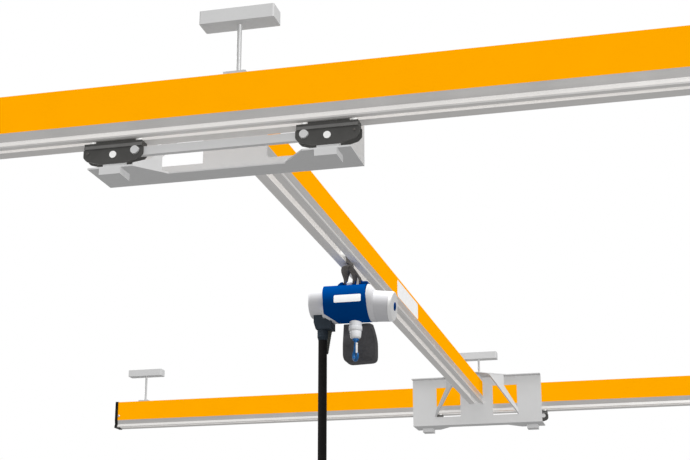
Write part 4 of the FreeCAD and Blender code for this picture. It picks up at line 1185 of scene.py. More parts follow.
@dataclass
class Yoke(Assembly):
    """The hoist's trolley on the girder, and the yoke that the hoist hangs from.

    Attributes:
        pin: middle of the yoke's main pin.
        plate_starts: near faces of the two side plates from the pin's middle.
        plate_thickness: thickness of a side plate.
        outline: X and level of a side plate's corners, an arch with three legs.
        leg_end: level down to which the outline's corners are rounded.
        pins: X and level of each pin from the main one, with its radius.
        pin_length: length of a pin over its heads.
        head_height: height of a head.
        head_growth: a head's radius as a multiple of its pin's.
        head_face: a head's flat end as a share of its radius.
        head_chamfer: length of the chamfer round that end.
    """

    body: ClassVar[Body] = Body.HOIST

    pin: Point = (-0.06, 1.82, -0.425)
    plate_starts: tuple[float, float] = (-0.022, 0.014)
    plate_thickness: float = 0.008
    outline: Profile = (
        (-0.0780, -0.4125), (-0.0930, -0.4200), (-0.0970, -0.4340), (-0.0950, -0.4500), (-0.0880, -0.4690),
        (-0.0835, -0.4850), (-0.0830, -0.5045), (-0.0755, -0.5045), (-0.0750, -0.4880), (-0.0720, -0.4700),
        (-0.0665, -0.4500), (-0.0605, -0.4385), (-0.0545, -0.4475), (-0.0450, -0.4680), (-0.0415, -0.4860),
        (-0.0415, -0.5045), (-0.0335, -0.5045), (-0.0325, -0.4880), (-0.0300, -0.4720), (-0.0270, -0.4610),
        (-0.0195, -0.4680), (-0.0135, -0.4860), (-0.0120, -0.5045), (-0.0040, -0.5045), (-0.0045, -0.4880),
        (-0.0110, -0.4680), (-0.0230, -0.4500), (-0.0330, -0.4340), (-0.0450, -0.4180), (-0.0560, -0.4125),
    )
    leg_end: float = -0.5
    pins: Sequence[Point] = (
        (0.0, 0.0, 0.006), (-0.019, -0.068, 0.003), (0.022, -0.068, 0.003), (0.052, -0.068, 0.003),
    )
    pin_length: float = 0.05
    head_height: float = 0.003
    head_growth: float = 1.35
    head_face: float = 0.8
    head_chamfer: float = 0.0008

    def build(self) -> None:
        """Dress the trolley and build the yoke."""
        self.paints.dress(FORGED, "hoist_trolley", "hoist_yoke")
        self.paints.dress(NYLON, "hoist_trolley_wheels")
        self.side_plates()
        self.lug_pins()

    def side_plates(self) -> None:
        """Two arched side plates with three legs each, all edges rounded."""
        solid = Solid()
        for start in self.plate_starts:
            y = self.pin[1] + start
            verts = solid.prism([(x, y, z) for x, z in self.outline], (0.0, self.plate_thickness, 0.0))
            corners = [e for e in solid.edges_along(verts, Axis.Y) if e.verts[0].co.z > self.leg_end]
            solid.bevel(corners, width=0.004, segments=3)
        solid.soften(solid.mesh.verts[:], width=0.0018, segments=3, sharp=50.0)
        self.keep(solid, "yoke_plates", FORGED, Slot.CASTING, "hoist_yoke", smooth=50.0)

    def lug_pins(self) -> None:
        """The yoke's main pin and its three lug pins, with rounded heads."""
        solid = Solid()
        x, y, z = self.pin
        end = self.pin_length
        for dx, dz, radius in self.pins:
            head = radius * self.head_growth
            near = (
                (0.0, 0.0), (0.0, head * self.head_face), (self.head_chamfer, head), (self.head_height, head),
                (self.head_height, radius),
            )
            far = tuple((end - along, size) for along, size in reversed(near))
            solid.turned(near + far, (x + dx, y - end / 2, z + dz), Axis.Y.value, steps=28)
        self.keep(solid, "yoke_pins", FORGED, Slot.ZINC)


@dataclass
class Housing(Assembly):
    """The hoist's housing with its two covers, ears, bare label and badge.

    Attributes:
        x: X of the yoke's pin above it.
        y: middle of the housing.
        axis_level: level of the drum's axis.
        radius: radius of the drum.
        ear_outlines: X of the ears' corners, with their rise from the drum's top.
        ear_half: half an ear's depth.
        saddle_low: lowest corner of the saddle's cover from the drum's top.
        saddle_high: its highest corner from there.
        label_run: X of the bare label's ends.
        label_arc: angles of its edges above the drum's front, in degrees.
        label_gap: its inner face from the drum.
        label_thickness: its thickness.
        label_corner: radius of its corners.
        cap_slope: slope of the right cover's axis, down to the right, in degrees.
        cap_drop: that axis below the drum's, under the yoke's pin.
        cap_end: the right cover's end from there.
        cap_length: length of the paler cap on that end.
        shaded_cover_colour: colour of the right cover, the white cover's colour darkened as painted shade for
            the light that it catches.
        badge_profile: profile of the badge on that end.
        collar_rings: X, level and radius of the rings that the right cover's collar is lofted through.
        collar_wall: its wall.
    """

    body: ClassVar[Body] = Body.HOIST

    x: float = -0.06
    y: float = 1.82
    axis_level: float = -0.594
    radius: float = 0.088
    ear_outlines: Sequence[Profile] = (
        ((-0.112, -0.004), (-0.087, -0.004), (-0.087, 0.013), (-0.099, 0.0115), (-0.112, 0.001)),
        ((0.002, -0.004), (0.031, -0.004), (0.031, 0.008), (0.025, 0.0105), (0.002, 0.0115)),
    )
    ear_half: float = 0.024
    saddle_low: Point = (-0.0695, -0.026, -0.008)
    saddle_high: Point = (-0.0455, 0.026, 0.0115)
    label_run: tuple[float, float] = (-0.1137, 0.0122)
    label_arc: tuple[float, float] = (-7.6, 15.3)
    label_gap: float = 0.0004
    label_thickness: float = 0.0008
    label_corner: float = 0.005
    cap_slope: float = 5.0
    cap_drop: float = 0.006
    cap_end: float = 0.212
    cap_length: float = 0.021
    shaded_cover_colour: Colour = (0.63, 0.63, 0.65)
    badge_profile: Profile = (
        (-0.002, 0.0), (-0.002, 0.0192), (0.0008, 0.0192), (0.0016, 0.018), (0.0022, 0.013), (0.0026, 0.0),
    )
    collar_rings: Sequence[Point] = (
        (0.033, -0.594, 0.0872), (0.039, -0.595, 0.0862), (0.064, -0.6108, 0.0730),
    )
    collar_wall: float = 0.0015

    def build(self) -> None:
        """Dress the housing, the covers and the hook, and build the trim."""
        self.paints.dress(BLUE, "hoist_body")
        self.paints.dress(HOOK_BLUE, "hook")
        self.paints.dress(LATCH, "hook_latch")
        self.paints.dress(COVER, "hoist_left_cover")
        self.paints.dress(self.right_finish(), "hoist_right_cover")
        self.ears()
        self.saddle_cover()
        self.label()
        self.badge()
        self.collar()

    @property
    def top(self) -> float:
        """Level of the drum's top."""
        return self.axis_level + self.radius

    @property
    def cap_axis(self) -> Vector:
        """Direction of the right cover's axis."""
        slope = math.radians(self.cap_slope)
        return Vector((math.cos(slope), 0.0, -math.sin(slope)))

    @property
    def cap_origin(self) -> Vector:
        """Point on the right cover's axis under the yoke's pin."""
        return Vector((self.x, self.y, self.axis_level - self.cap_drop))

    def right_finish(self) -> CappedFinish:
        """The right cover's finish, with its paler end cap.

        Returns:
            The finish.
        """
        # The right cover takes a darker copy of the white cover's colour: painted shade for the light that it
        # catches.
        return CappedFinish(
            "cover_capped", self.shaded_cover_colour, COVER.roughness, specular=0.1, swing=COVER.swing,
            patch=COVER.patch, relief=COVER.relief, start=tuple(self.cap_origin), axis=tuple(self.cap_axis),
            seam=self.cap_end - self.cap_length,
        )

    def ears(self) -> None:
        """Low blue ears on the housing beside the yoke's outer legs."""
        solid = Solid()
        for corners in self.ear_outlines:
            outline = [(x, self.y - self.ear_half, self.top + rise) for x, rise in corners]
            verts = solid.prism(outline, (0.0, self.ear_half * 2, 0.0))
            solid.soften(verts, width=0.002, segments=3, sharp=25.0)
        self.keep(solid, "housing_ears", BLUE, Slot.BLUE)

    def saddle_cover(self) -> None:
        """Pale cover on the housing between the left and middle legs."""
        solid = Solid()
        on_top = Vector((0.0, self.y, self.top))
        verts = solid.block(on_top + Vector(self.saddle_low), on_top + Vector(self.saddle_high))
        solid.soften(verts, width=0.005, segments=4, sharp=30.0)
        self.keep(solid, "saddle_cover", COVER, Slot.COVER)

    def label(self) -> None:
        """A bare white label that follows the drum's front."""
        solid = Solid()
        radius = self.radius + self.label_gap
        middle = Vector((0.0, self.y, self.axis_level))
        low, high = (math.radians(angle) for angle in self.label_arc)
        start = middle + Vector((0.0, -math.cos(low), math.sin(low))) * radius
        ends = [solid.mesh.verts.new((x, start.y, start.z)) for x in self.label_run]
        spun = [*ends, solid.mesh.edges.new(ends)]
        bmesh.ops.spin(solid.mesh, geom=spun, cent=middle, axis=(-1.0, 0.0, 0.0), angle=high - low, steps=6)
        corners = [v for v in solid.mesh.verts if len(v.link_edges) == 2]
        solid.bevel(corners, self.label_corner, segments=5, what=Rounding.CORNERS)
        solid.thicken(self.label_thickness)
        self.keep(solid, "hoist_label", LABEL, Slot.COVER)

    def badge(self) -> None:
        """Small round blue badge, a little domed, in the middle of the right cover's end."""
        solid = Solid()
        seat = self.cap_origin + self.cap_axis * self.cap_end
        solid.turned(self.badge_profile, seat, self.cap_axis, steps=48)
        self.keep(solid, "cover_badge", BLUE, Slot.BLUE, smooth=35.0)

    def collar(self) -> None:
        """Tapering collar that leads from the housing to the narrower right cover."""
        solid = Solid()
        rings = []
        for x, level, radius in self.collar_rings:
            matrix = Matrix.Translation((x, self.y, level)) @ Matrix.Rotation(math.pi / 2, 4, "Y")
            made = bmesh.ops.create_circle(solid.mesh, segments=72, radius=radius, matrix=matrix)["verts"]
            rings.append(solid.edges_among(made))
        for first, second in zip(rings, rings[1:]):
            bmesh.ops.bridge_loops(solid.mesh, edges=first + second)
        solid.thicken(self.collar_wall)
        self.keep(solid, "cover_collar", COVER, Slot.COVER, smooth=50.0)


@dataclass
class Outlets(Assembly):
    """What comes out of the housing below: hook sleeve, cable socket and side boot.

    Attributes:
        y: middle of the housing.
        sleeve_foot: X and level of the sleeve's lower end.
        sleeve_profile: profile of the sleeve, with its collar and two grooves.
        socket_x: X of the cable socket.
        ring_levels: levels of the rings round its barrel.
        ring_profile: profile of a ring.
        boot_top: middle of the boot's upper end.
        boot_low: middle of its lower end.
        boot_radii: its radius at the top and at the bottom.
        boot_ribs: number of its ribs.
        boot_rim: length of its plain rim, and the chamfer on that.
        boot_tip: profile of its lower end, from that end.
        rib_share: shares of its length where the first and the last rib start.
        rib_section: a rib and the groove behind it, as lengths with changes of radius.
    """

    body: ClassVar[Body] = Body.HOIST

    y: float = 1.82
    sleeve_foot: tuple[float, float] = (-0.033, -0.758)
    sleeve_profile: Profile = (
        (0.0, 0.0098), (0.0, 0.0185), (0.0012, 0.0205), (0.005, 0.0235), (0.010, 0.0250),
        (0.032, 0.0268), (0.0335, 0.0262), (0.035, 0.0270), (0.0385, 0.0296), (0.041, 0.0306),
        (0.054, 0.0308), (0.0565, 0.0300), (0.0575, 0.0282), (0.059, 0.0280), (0.0605, 0.0284),
        (0.066, 0.0284), (0.084, 0.0276), (0.084, 0.0098), (0.0, 0.0098),
    )
    socket_x: float = -0.188
    ring_levels: Sequence[float] = (-0.7185, -0.7265, -0.7345, -0.7425)
    ring_profile: Profile = (
        (0.0, 0.0236), (0.0008, 0.0248), (0.0032, 0.0248), (0.004, 0.0236), (0.0, 0.0236),
    )
    boot_top: Point = (-0.1630, 1.842, -0.708)
    boot_low: Point = (-0.1735, 1.841, -0.817)
    boot_radii: tuple[float, float] = (0.0132, 0.0068)
    boot_ribs: int = 9
    boot_rim: tuple[float, float] = (0.006, 0.0004)
    boot_tip: Profile = ((-0.001, 0.0062), (0.0, 0.0052), (0.0, 0.0))
    rib_share: tuple[float, float] = (0.12, 0.90)
    rib_section: Profile = ((0.0, 0.0), (0.005, -0.0003), (0.006, -0.0014), (0.0085, -0.0014))

    def build(self) -> None:
        """Dress the socket and build the turned pieces."""
        self.paints.dress(COVER, "hook_sleeve")
        self.paints.dress(RUBBER, "cable_socket")
        self.paints.dress(RELIEF, "side_relief")
        self.sleeve()
        self.socket_rings()
        self.side_boot()

    def sleeve(self) -> None:
        """Turned sleeve over the hook's shank."""
        solid = Solid()
        x, level = self.sleeve_foot
        solid.turned(self.sleeve_profile, (x, self.y, level), UP, steps=56)
        self.keep(solid, "hook_sleeve_turned", SLEEVE, Slot.COVER, "hook_sleeve", smooth=28.0)

    def socket_rings(self) -> None:
        """Moulded rings round the cable socket's barrel."""
        solid = Solid()
        for level in self.ring_levels:
            solid.turned(self.ring_profile, (self.socket_x, self.y, level), UP, steps=48)
        self.keep(solid, "socket_rings", RUBBER, Slot.CABLE, smooth=30.0)

    def side_boot(self) -> None:
        """Ribbed, tapering strain relief beside the cable."""
        solid = Solid()
        way = Vector(self.boot_low) - Vector(self.boot_top)
        run = way.length
        wide, narrow = self.boot_radii
        rim, chamfer = self.boot_rim
        first, last = self.rib_share
        profile = [(0.0, 0.0), (0.0, wide - chamfer), (rim, wide)]
        for number in range(self.boot_ribs):
            share = first + (last - first) * number / (self.boot_ribs - 1)
            radius = wide + (narrow - wide) * share
            profile += [(run * share + along, radius + change) for along, change in self.rib_section]
        profile += [(run + along, radius) for along, radius in self.boot_tip]
        solid.turned(profile, self.boot_top, way.normalized(), steps=32)
        self.keep(solid, "side_boot", RELIEF, Slot.CABLE, "side_relief", smooth=30.0)


@dataclass
class ChainBag(Assembly):
    """The soft bag that the slack chain lies in.

    Attributes:
        low: lowest corner of the box that it fills.
        high: highest corner of that box.
        cuts: cuts across each edge of the box before it sags.
        wall: thickness of the fabric.
        left_corner: radius of the lower left corner.
        right_corner: radius of the lower right corner.
        rim_start: share of the height from which the bag narrows to its rim.
        rim_draw: how far its left and its right side draw in at the rim.
        crease_depth: depth of the creases in its front and back.
        fold_depth: depth of the level folds under the rim.
        right_lift: how much higher the bottom hangs on the right.
        front_dip: how much lower the rim hangs in front.
        hem_heights: shares of the height between which the webbing runs.
        hem_growth: the webbing's girth as a multiple of the bag's.
        hem_wall: thickness of the webbing.
    """

    body: ClassVar[Body] = Body.HOIST

    low: Point = (-0.106, 1.860, -0.857)
    high: Point = (0.045, 1.946, -0.668)
    cuts: int = 15
    wall: float = 0.002
    left_corner: float = 0.034
    right_corner: float = 0.021
    rim_start: float = 0.45
    rim_draw: tuple[float, float] = (0.004, 0.022)
    crease_depth: float = 0.0026
    fold_depth: float = 0.0013
    right_lift: float = 0.005
    front_dip: float = 0.008
    hem_heights: tuple[float, float] = (0.992, 0.925)
    hem_growth: float = 1.012
    hem_wall: float = 0.0016

    def build(self) -> None:
        """Build the bag and its webbing."""
        self.paints.dress(BAG, "chain_bag")
        self.shell()
        self.hem()

    @property
    def middle(self) -> Vector:
        """Middle of the box."""
        return (Vector(self.low) + Vector(self.high)) / 2

    @property
    def half(self) -> Vector:
        """Half the box's sides."""
        return (Vector(self.high) - Vector(self.low)) / 2

    def shell(self) -> None:
        """A sagging shell, open at the top, with creases."""
        solid = Solid()
        solid.block(self.low, self.high)
        bmesh.ops.subdivide_edges(solid.mesh, edges=solid.mesh.edges[:], cuts=self.cuts, use_grid_fill=True)
        # The lid goes, because the chain drops into the bag from above.
        lid = [f for f in solid.mesh.faces if all(v.co.z > self.high[2] - TINY for v in f.verts)]
        bmesh.ops.delete(solid.mesh, geom=lid, context="FACES")
        for vert in solid.mesh.verts:
            place = vert.co - self.middle
            u, v, w = (part / whole for part, whole in zip(place, self.half))
            vert.co = self.sagged(u, v, (w + 1.0) / 2)
        inside = [v for v in solid.mesh.verts if not v.is_boundary]
        every_way = {"use_axis_x": True, "use_axis_y": True, "use_axis_z": True}
        bmesh.ops.smooth_vert(solid.mesh, verts=inside, factor=0.5, **every_way)
        piece = self.keep(solid, "chain_bag_soft", BAG, Slot.BAG, "chain_bag", smooth=80.0)
        wall = piece.modifiers.new("wall", "SOLIDIFY")
        wall.thickness = self.wall
        wall.offset = -1.0
        softer = piece.modifiers.new("round", "SUBSURF")
        softer.levels = softer.render_levels = 2

    def sagged(self, u: float, v: float, w: float) -> Vector:
        """Where a point of the bag's box goes when the bag hangs full of chain.

        Args:
            u: place across the front, from -1 to 1.
            v: place from front to back, from -1 to 1.
            w: place from the bottom, 0, to the rim, 1.

        Returns:
            The point on the sagging shell.
        """
        half = self.half
        rim = max(0.0, (w - self.rim_start) / (1.0 - self.rim_start))
        corner = self.left_corner if u < 0 else self.right_corner
        x, z = self.rounded(u * half.x, w * half.z * 2, half.x, corner)
        left_draw, right_draw = self.rim_draw
        x -= x / half.x * (right_draw * rim ** 1.6 if u > 0 else left_draw * rim)
        full = math.sqrt(max(0.0, 1.0 - 0.55 * abs(u) ** 5))
        y = v * half.y * (0.78 + 0.22 * full) * (1.0 - 0.14 * rim ** 1.5) * (1.0 - 0.12 * (1.0 - w) ** 6)
        crease = noise.noise(Vector((u * 1.6 + 4.0, v * 1.2, w * 2.8))) * self.crease_depth
        fold = self.fold_depth * math.sin(11.0 * w + 3.0 * u) * rim
        outward = math.copysign(1.0, v) if abs(v) > 0.9 else 0.0
        lift = self.right_lift * (u + 1.0) * 0.5 * (1.0 - w) - self.front_dip * rim * (1.0 - v) * 0.5
        deep = self.middle.y + y + (crease + fold) * outward
        return Vector((self.middle.x + x, deep, self.low[2] + z + lift))

    @staticmethod
    def rounded(x: float, z: float, half: float, radius: float) -> tuple[float, float]:
        """Round a box's two lower corners.

        Args:
            x: place across, from the middle.
            z: place above the bottom.
            half: half the width.
            radius: radius of the corner on this side.

        Returns:
            The place moved onto the rounded outline.
        """
        over = max(0.0, abs(x) - (half - radius))
        under = max(0.0, radius - z)
        reach = math.hypot(over, under)
        if reach == 0.0:
            return x, z
        scale = max(over, under) / reach
        across = math.copysign(half - radius + over * scale, x) if over else x
        return across, radius - under * scale if under else z

    def hem(self) -> None:
        """Sewn webbing round the bag's rim."""
        solid = Solid()
        rims = []
        for height in self.hem_heights:
            ring = bmesh.ops.create_circle(solid.mesh, segments=40, radius=1.0)["verts"]
            for vert in ring:
                u, v = (math.copysign(abs(part) ** 0.35, part) for part in vert.co.xy)
                point = self.sagged(u, v, height)
                centre = Vector((self.middle.x, self.middle.y, point.z))
                vert.co = centre + (point - centre) * self.hem_growth
            rims.append(solid.edges_among(ring))
        bmesh.ops.bridge_loops(solid.mesh, edges=rims[0] + rims[1])
        solid.thicken(self.hem_wall)
        self.keep(solid, "bag_hem", HEM, Slot.BAG, smooth=60.0)


@dataclass
class ControlLine(Assembly):
    """The hanging control cable and the pendant on its end.

    Attributes:
        x: the cable's X.
        y: the cable's Y.
        top: level where it leaves its socket.
        low: level of the pendant's top.
        inside: length of cable that runs on inside the pendant.
        between: levels of the route's points between its ends.
        radius: the cable's radius.
        shell_half: half the pendant's width.
        shell_front: its front from the cable's axis.
        shell_back: its back from there.
        shell_drop: its upper and lower end below the pendant's top.
        grip_at: share of its height where the grip is narrowest.
        grip_spread: share of its height over which the grip widens again.
        grip_waist: how far its sides draw in at the grip, as a share.
        grip_hollow: how far its back draws in there.
        panel_half: half the key panel's width.
        panel_drop: the panel's upper and lower end below the pendant's top.
        panel_rise: how far it stands out, and how far it is sunk in.
        key_seat: seat of the keys from the cable's axis.
        key_drops: levels of the two push keys below the pendant's top.
        key_profile: profile of a push key with its collar.
        stop_drop: level of the stop key below the pendant's top.
        stop_profile: profile of that mushroom key.
        gland_seat: level of the gland below the pendant's top.
        gland_foot: profile of the gland's foot.
        gland_neck: profile of its upper end.
        gland_ribs: number of its ribs.
        gland_start: where the first rib stands, with its radius.
        gland_step: from one rib to the next, along the gland and in radius.
        gland_groove: from a rib to the groove above it, along the gland and in radius.
    """

    body: ClassVar[Body] = Body.HOIST

    x: float = -0.188
    y: float = 1.82
    top: float = -0.758
    low: float = -2.188
    inside: float = 0.060
    between: Sequence[float] = (-0.878, -1.2, -1.7)
    radius: float = 0.020
    shell_half: float = 0.035
    shell_front: float = -0.018
    shell_back: float = 0.026
    shell_drop: tuple[float, float] = (0.012, 0.190)
    grip_at: float = 0.42
    grip_spread: float = 0.22
    grip_waist: float = 0.10
    grip_hollow: float = 0.006
    panel_half: float = 0.022
    panel_drop: tuple[float, float] = (0.030, 0.174)
    panel_rise: float = 0.002
    key_seat: float = -0.020
    key_drops: Sequence[float] = (0.095, 0.135)
    key_profile: Profile = (
        (0.0, 0.0), (0.0, 0.0135), (0.0014, 0.0135), (0.002, 0.0128), (0.002, 0.0108), (0.0032, 0.0104),
        (0.0038, 0.0085), (0.0034, 0.0),
    )
    stop_drop: float = 0.050
    stop_profile: Profile = (
        (0.0, 0.0), (0.0, 0.0090), (0.0018, 0.0090), (0.0022, 0.0145), (0.0034, 0.0155), (0.0048, 0.0140),
        (0.0056, 0.0090), (0.0058, 0.0),
    )
    gland_seat: float = 0.0135
    gland_foot: Profile = ((-0.002, 0.0), (-0.002, 0.026), (0.004, 0.026), (0.005, 0.0235))
    gland_neck: Profile = ((0.0125, 0.0205), (0.0125, 0.0))
    gland_ribs: int = 4
    gland_start: tuple[float, float] = (0.006, 0.0232)
    gland_step: tuple[float, float] = (0.0016, -0.0006)
    gland_groove: tuple[float, float] = (0.0008, -0.001)

    def build(self) -> None:
        """Build the cable with its pendant."""
        self.paints.dress(SHEATH, "control_cable")
        self.paints.dress(PENDANT, "pendant")
        pendant = [self.shell(), self.gland(), self.keys(), self.stop()]
        cable = self.settle(self.cable(), Slot.CABLE, "control_cable")
        self.top
        self.top - self.low + self.inside
        self.radius * 2

    def cable(self) -> bpy.types.Object:
        """The sheathed cable, straight down under its own weight.

        Returns:
            The curve, linked to the scene.
        """
        curve = bpy.data.curves.new("control_cable_run", "CURVE")
        curve.dimensions = "3D"
        curve.bevel_depth = self.radius
        curve.bevel_resolution = 8
        curve.use_fill_caps = True
        spline = curve.splines.new("NURBS")
        levels = (self.top, *self.between, self.low, self.low - self.inside)
        spline.points.add(len(levels) - 1)
        for point, level in zip(spline.points, levels):
            point.co = (self.x, self.y, level, 1.0)
        spline.order_u = 3
        spline.use_endpoint_u = True
        spline.resolution_u = 8
        curve.materials.append(self.paints[SHEATH])
        piece = bpy.data.objects.new("control_cable_run", curve)
        bpy.context.scene.collection.objects.link(piece)
        return piece

    def shell(self) -> bpy.types.Object:
        """The pendant's moulded shell with a narrower grip and a raised key panel.

        Returns:
            The piece.
        """
        solid = Solid()
        top, bottom = (self.low - drop for drop in self.shell_drop)
        front, back = self.y + self.shell_front, self.y + self.shell_back
        verts = solid.block((self.x - self.shell_half, front, bottom), (self.x + self.shell_half, back, top))
        bmesh.ops.subdivide_edges(solid.mesh, edges=solid.edges_along(verts, Axis.Z), cuts=4)
        for vert in solid.mesh.verts:
            share = (vert.co.z - bottom) / (top - bottom)
            grip = math.exp(-((share - self.grip_at) / self.grip_spread) ** 2)
            vert.co.x = self.x + (vert.co.x - self.x) * (1.0 - self.grip_waist * grip)
            if vert.co.y > self.y:
                vert.co.y -= self.grip_hollow * grip
        solid.soften(solid.mesh.verts[:], width=0.007, segments=4, sharp=40.0)
        panel_top, panel_bottom = (self.low - drop for drop in self.panel_drop)
        low = (self.x - self.panel_half, front - self.panel_rise, panel_bottom)
        high = (self.x + self.panel_half, front + self.panel_rise, panel_top)
        solid.soften(solid.block(low, high), width=0.0012, segments=2, sharp=40.0)
        return self.keep(solid, "pendant_shell", PENDANT, Slot.PENDANT, "pendant")

    def gland(self) -> bpy.types.Object:
        """Ribbed gland between cable and pendant.

        Returns:
            The piece.
        """
        solid = Solid()
        ribs = []
        for number in range(self.gland_ribs):
            rib = Vector(self.gland_start) + Vector(self.gland_step) * number
            ribs += [rib, rib + Vector(self.gland_groove)]
        profile = (*self.gland_foot, *ribs, *self.gland_neck)
        solid.turned(profile, (self.x, self.y, self.low - self.gland_seat), UP)
        return self.keep(solid, "pendant_gland", RUBBER, Slot.PENDANT, smooth=35.0)

    def keys(self) -> bpy.types.Object:
        """Two round push keys with collars.

        Returns:
            The piece.
        """
        solid = Solid()
        for drop in self.key_drops:
            seat = (self.x, self.y + self.key_seat, self.low - drop)
            solid.turned(self.key_profile, seat, (0.0, -1.0, 0.0), steps=36)
        return self.keep(solid, "pendant_keys", KEYS, Slot.PENDANT, smooth=30.0)

    def stop(self) -> bpy.types.Object:
        """Red mushroom key above the others.

        Returns:
            The piece.
        """
        solid = Solid()
        seat = (self.x, self.y + self.key_seat, self.low - self.stop_drop)
        solid.turned(self.stop_profile, seat, (0.0, -1.0, 0.0))
        return self.keep(solid, "pendant_stop", STOP, Slot.PENDANT)


@dataclass(frozen=True)
class Lamp:
    """A distant light that throws no shadow.

    Attributes:
        name: its name.
        energy: its strength.
        towards: direction from the object to the light.
        spread: angle that it fills, in degrees.
        lit: whether it lights only the pieces that it is given, or all others.
    """

    name: str
    energy: float
    towards: Point
    spread: float
    lit: Lit

    def add(self, pieces: Sequence[str]) -> None:
        """Put the lamp in the scene.

        Args:
            pieces: names of the pieces that it lights or leaves out.
        """
        light = bpy.data.lights.new(self.name, "SUN")
        light.energy = self.energy
        light.angle = math.radians(self.spread)
        light.use_shadow = False
        holder = bpy.data.objects.new(self.name, light)
        holder.rotation_euler = Vector(self.towards).to_track_quat("Z", "Y").to_euler()
        bpy.context.scene.collection.objects.link(holder)
        named = bpy.data.collections.new(f"{self.name}_pieces")
        for piece in pieces:
            named.objects.link(bpy.data.objects[piece])
        holder.light_linking.receiver_collection = named
        for member in named.collection_objects:
            member.light_linking.link_state = self.lit.value


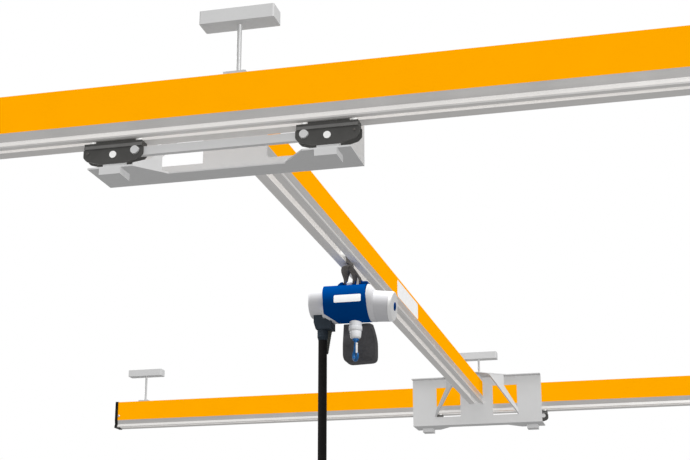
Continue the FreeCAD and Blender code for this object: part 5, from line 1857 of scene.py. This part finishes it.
@dataclass
class Studio:
    """Floor, light and camera.

    Attributes:
        floor_level: level of the floor.
        floor_middle: Y of its middle.
        spread: half the floor's side.
        pale: the floor's two tones, as the camera sees them.
        thrown: the tone that it throws back on the object.
        dome: strength of the surroundings at the sides and below.
        overhead: their strength overhead.
        dome_rise: sines of the heights in the sky between which the one changes to the other.
        key: broad light from the front right.
        top: light from above for the hoist's shell.
        back: light from behind and the left.
        shell: pieces of the hoist that take their light from above only.
        eye: the camera's place.
        tilt: the camera's look upwards, in degrees.
        turn: its turn to the left, in degrees.
        lens: its focal length in millimetres.
    """

    floor_level: float = -3.75
    floor_middle: float = 2.9
    spread: float = 90.0
    pale: tuple[float, float] = (0.60, 0.64)
    thrown: float = 0.315
    dome: float = 0.48
    overhead: float = 1.2
    dome_rise: tuple[float, float] = (0.40, 0.80)
    key: Lamp = Lamp("key", 2.65, (0.52, -0.5, 0.72), 40.0, Lit.OTHERS)
    top: Lamp = Lamp("top", 4.6, (-0.32, -0.08, 1.0), 24.0, Lit.ONLY)
    back: Lamp = Lamp("back", 1.6, (-0.5, 0.8, 0.25), 40.0, Lit.OTHERS)
    shell: Sequence[str] = (
        "hoist_body", "hoist_left_cover", "hoist_right_cover", "cover_collar", "cover_badge", "housing_ears",
        "saddle_cover", "chain_bag_soft", "bag_hem", "cable_socket", "socket_rings", "side_boot",
        "control_cable_run", "yoke_plates", "yoke_pins",
    )
    eye: Point = (1.4108, -4.1049, -2.1419)
    tilt: float = 17.322
    turn: float = 14.15
    lens: float = 71.55

    def build(self) -> None:
        """Lay the floor, set the light and the camera."""
        self.lay_floor()
        self.surround()
        self.key.add(self.shell)
        self.top.add(self.shell)
        self.back.add((*self.shell, "floor"))
        self.aim()

    def lay_floor(self) -> None:
        """A wide pale floor, clear when it is seen from below."""
        solid = Solid()
        bmesh.ops.create_grid(solid.mesh, x_segments=2, y_segments=2, size=self.spread)
        place = (0.0, self.floor_middle, self.floor_level)
        bmesh.ops.translate(solid.mesh, verts=solid.mesh.verts, vec=place)
        floor = solid.finish("floor", self.floor_material(), smooth=40.0)
        # A floor that faced down would hide the object from below.
        if floor.data.polygons[0].normal.z < 0.0:
            floor.data.flip_normals()
        LOG.info("laid %s", floor.name)

    def floor_material(self) -> bpy.types.Material:
        """The floor's material.

        Returns:
            The material.
        """
        material = bpy.data.materials.new("floor_pale")
        material.use_nodes = True
        graph = Graph(material.node_tree)
        place = graph.add("ShaderNodeTexCoord").outputs["Object"]
        seen = graph.add("ShaderNodeLightPath").outputs["Is Camera Ray"]
        first, second, thrown = ((tone, tone, tone, 1.0) for tone in (*self.pale, self.thrown))
        pale = graph.mix(graph.speckle(place, scale=1.5, detail=4.0), first, second)
        shader = graph.tree.nodes["Principled BSDF"]
        graph.feed(shader.inputs["Base Color"], graph.mix(seen, thrown, pale))
        graph.feed(shader.inputs["Roughness"], 0.85)
        graph.feed(shader.inputs["Specular IOR Level"], 0.1)
        below = graph.add("ShaderNodeNewGeometry").outputs["Backfacing"]
        clear = graph.add("ShaderNodeBsdfTransparent").outputs[0]
        both = graph.add("ShaderNodeMixShader", {0: below, 1: shader.outputs[0], 2: clear})
        graph.feed(graph.tree.nodes["Material Output"].inputs["Surface"], both.outputs[0])
        return material

    def surround(self) -> None:
        """Surroundings that the camera sees as plain white, and that give more light from overhead."""
        world = bpy.data.worlds.new("studio")
        bpy.context.scene.world = world
        world.use_nodes = True
        world.node_tree.nodes.clear()
        graph = Graph(world.node_tree)
        white = (1.0, 1.0, 1.0, 1.0)
        rise = graph.dot(graph.add("ShaderNodeTexCoord").outputs["Generated"], UP)
        strength = graph.remap(rise, *self.dome_rise, self.dome, self.overhead)
        dome = graph.add("ShaderNodeBackground", {"Color": white, "Strength": strength})
        plain = graph.add("ShaderNodeBackground", {"Color": white, "Strength": 1.0})
        seen = graph.add("ShaderNodeLightPath").outputs["Is Camera Ray"]
        both = graph.add("ShaderNodeMixShader", {0: seen, 1: dome.outputs[0], 2: plain.outputs[0]})
        graph.add("ShaderNodeOutputWorld", {0: both.outputs[0]})

    def aim(self) -> None:
        """Place the camera where the photograph was taken from."""
        lens = bpy.data.cameras.new("camera")
        lens.lens = self.lens
        lens.sensor_width = 36.0
        lens.clip_end = 300.0
        camera = bpy.data.objects.new("camera", lens)
        camera.location = self.eye
        camera.rotation_euler = (math.radians(90.0 + self.tilt), 0.0, math.radians(self.turn))
        bpy.context.scene.collection.objects.link(camera)
        bpy.context.scene.camera = camera
        bpy.context.scene.view_settings.view_transform = "Standard"


def main() -> None:
    """Build every sub-assembly in order and report each piece."""
    logging.basicConfig(level=logging.INFO, format="%(name)s: %(message)s")
    paints = Paintbox()
    assemblies = (
        Runway(paints, Row.FRONT, 0.0, (-2.815, 2.815), (-2.61, 0.0, 2.61)),
        Runway(paints, Row.REAR, 5.75, (-2.875, 2.755), (-2.67, -0.06, 2.55)),
        Carriage(paints, Row.FRONT, 0.0, brace_foot=0.319, brace_head=0.129),
        Carriage(paints, Row.REAR, 5.75, brace_foot=0.295, brace_head=0.105),
        Girder(paints),
        Yoke(paints),
        Housing(paints),
        Outlets(paints),
        ChainBag(paints),
        ControlLine(paints),
        Studio(),
    )
    for assembly in assemblies:
        assembly.build()


if __name__ == "__main__":
    main()
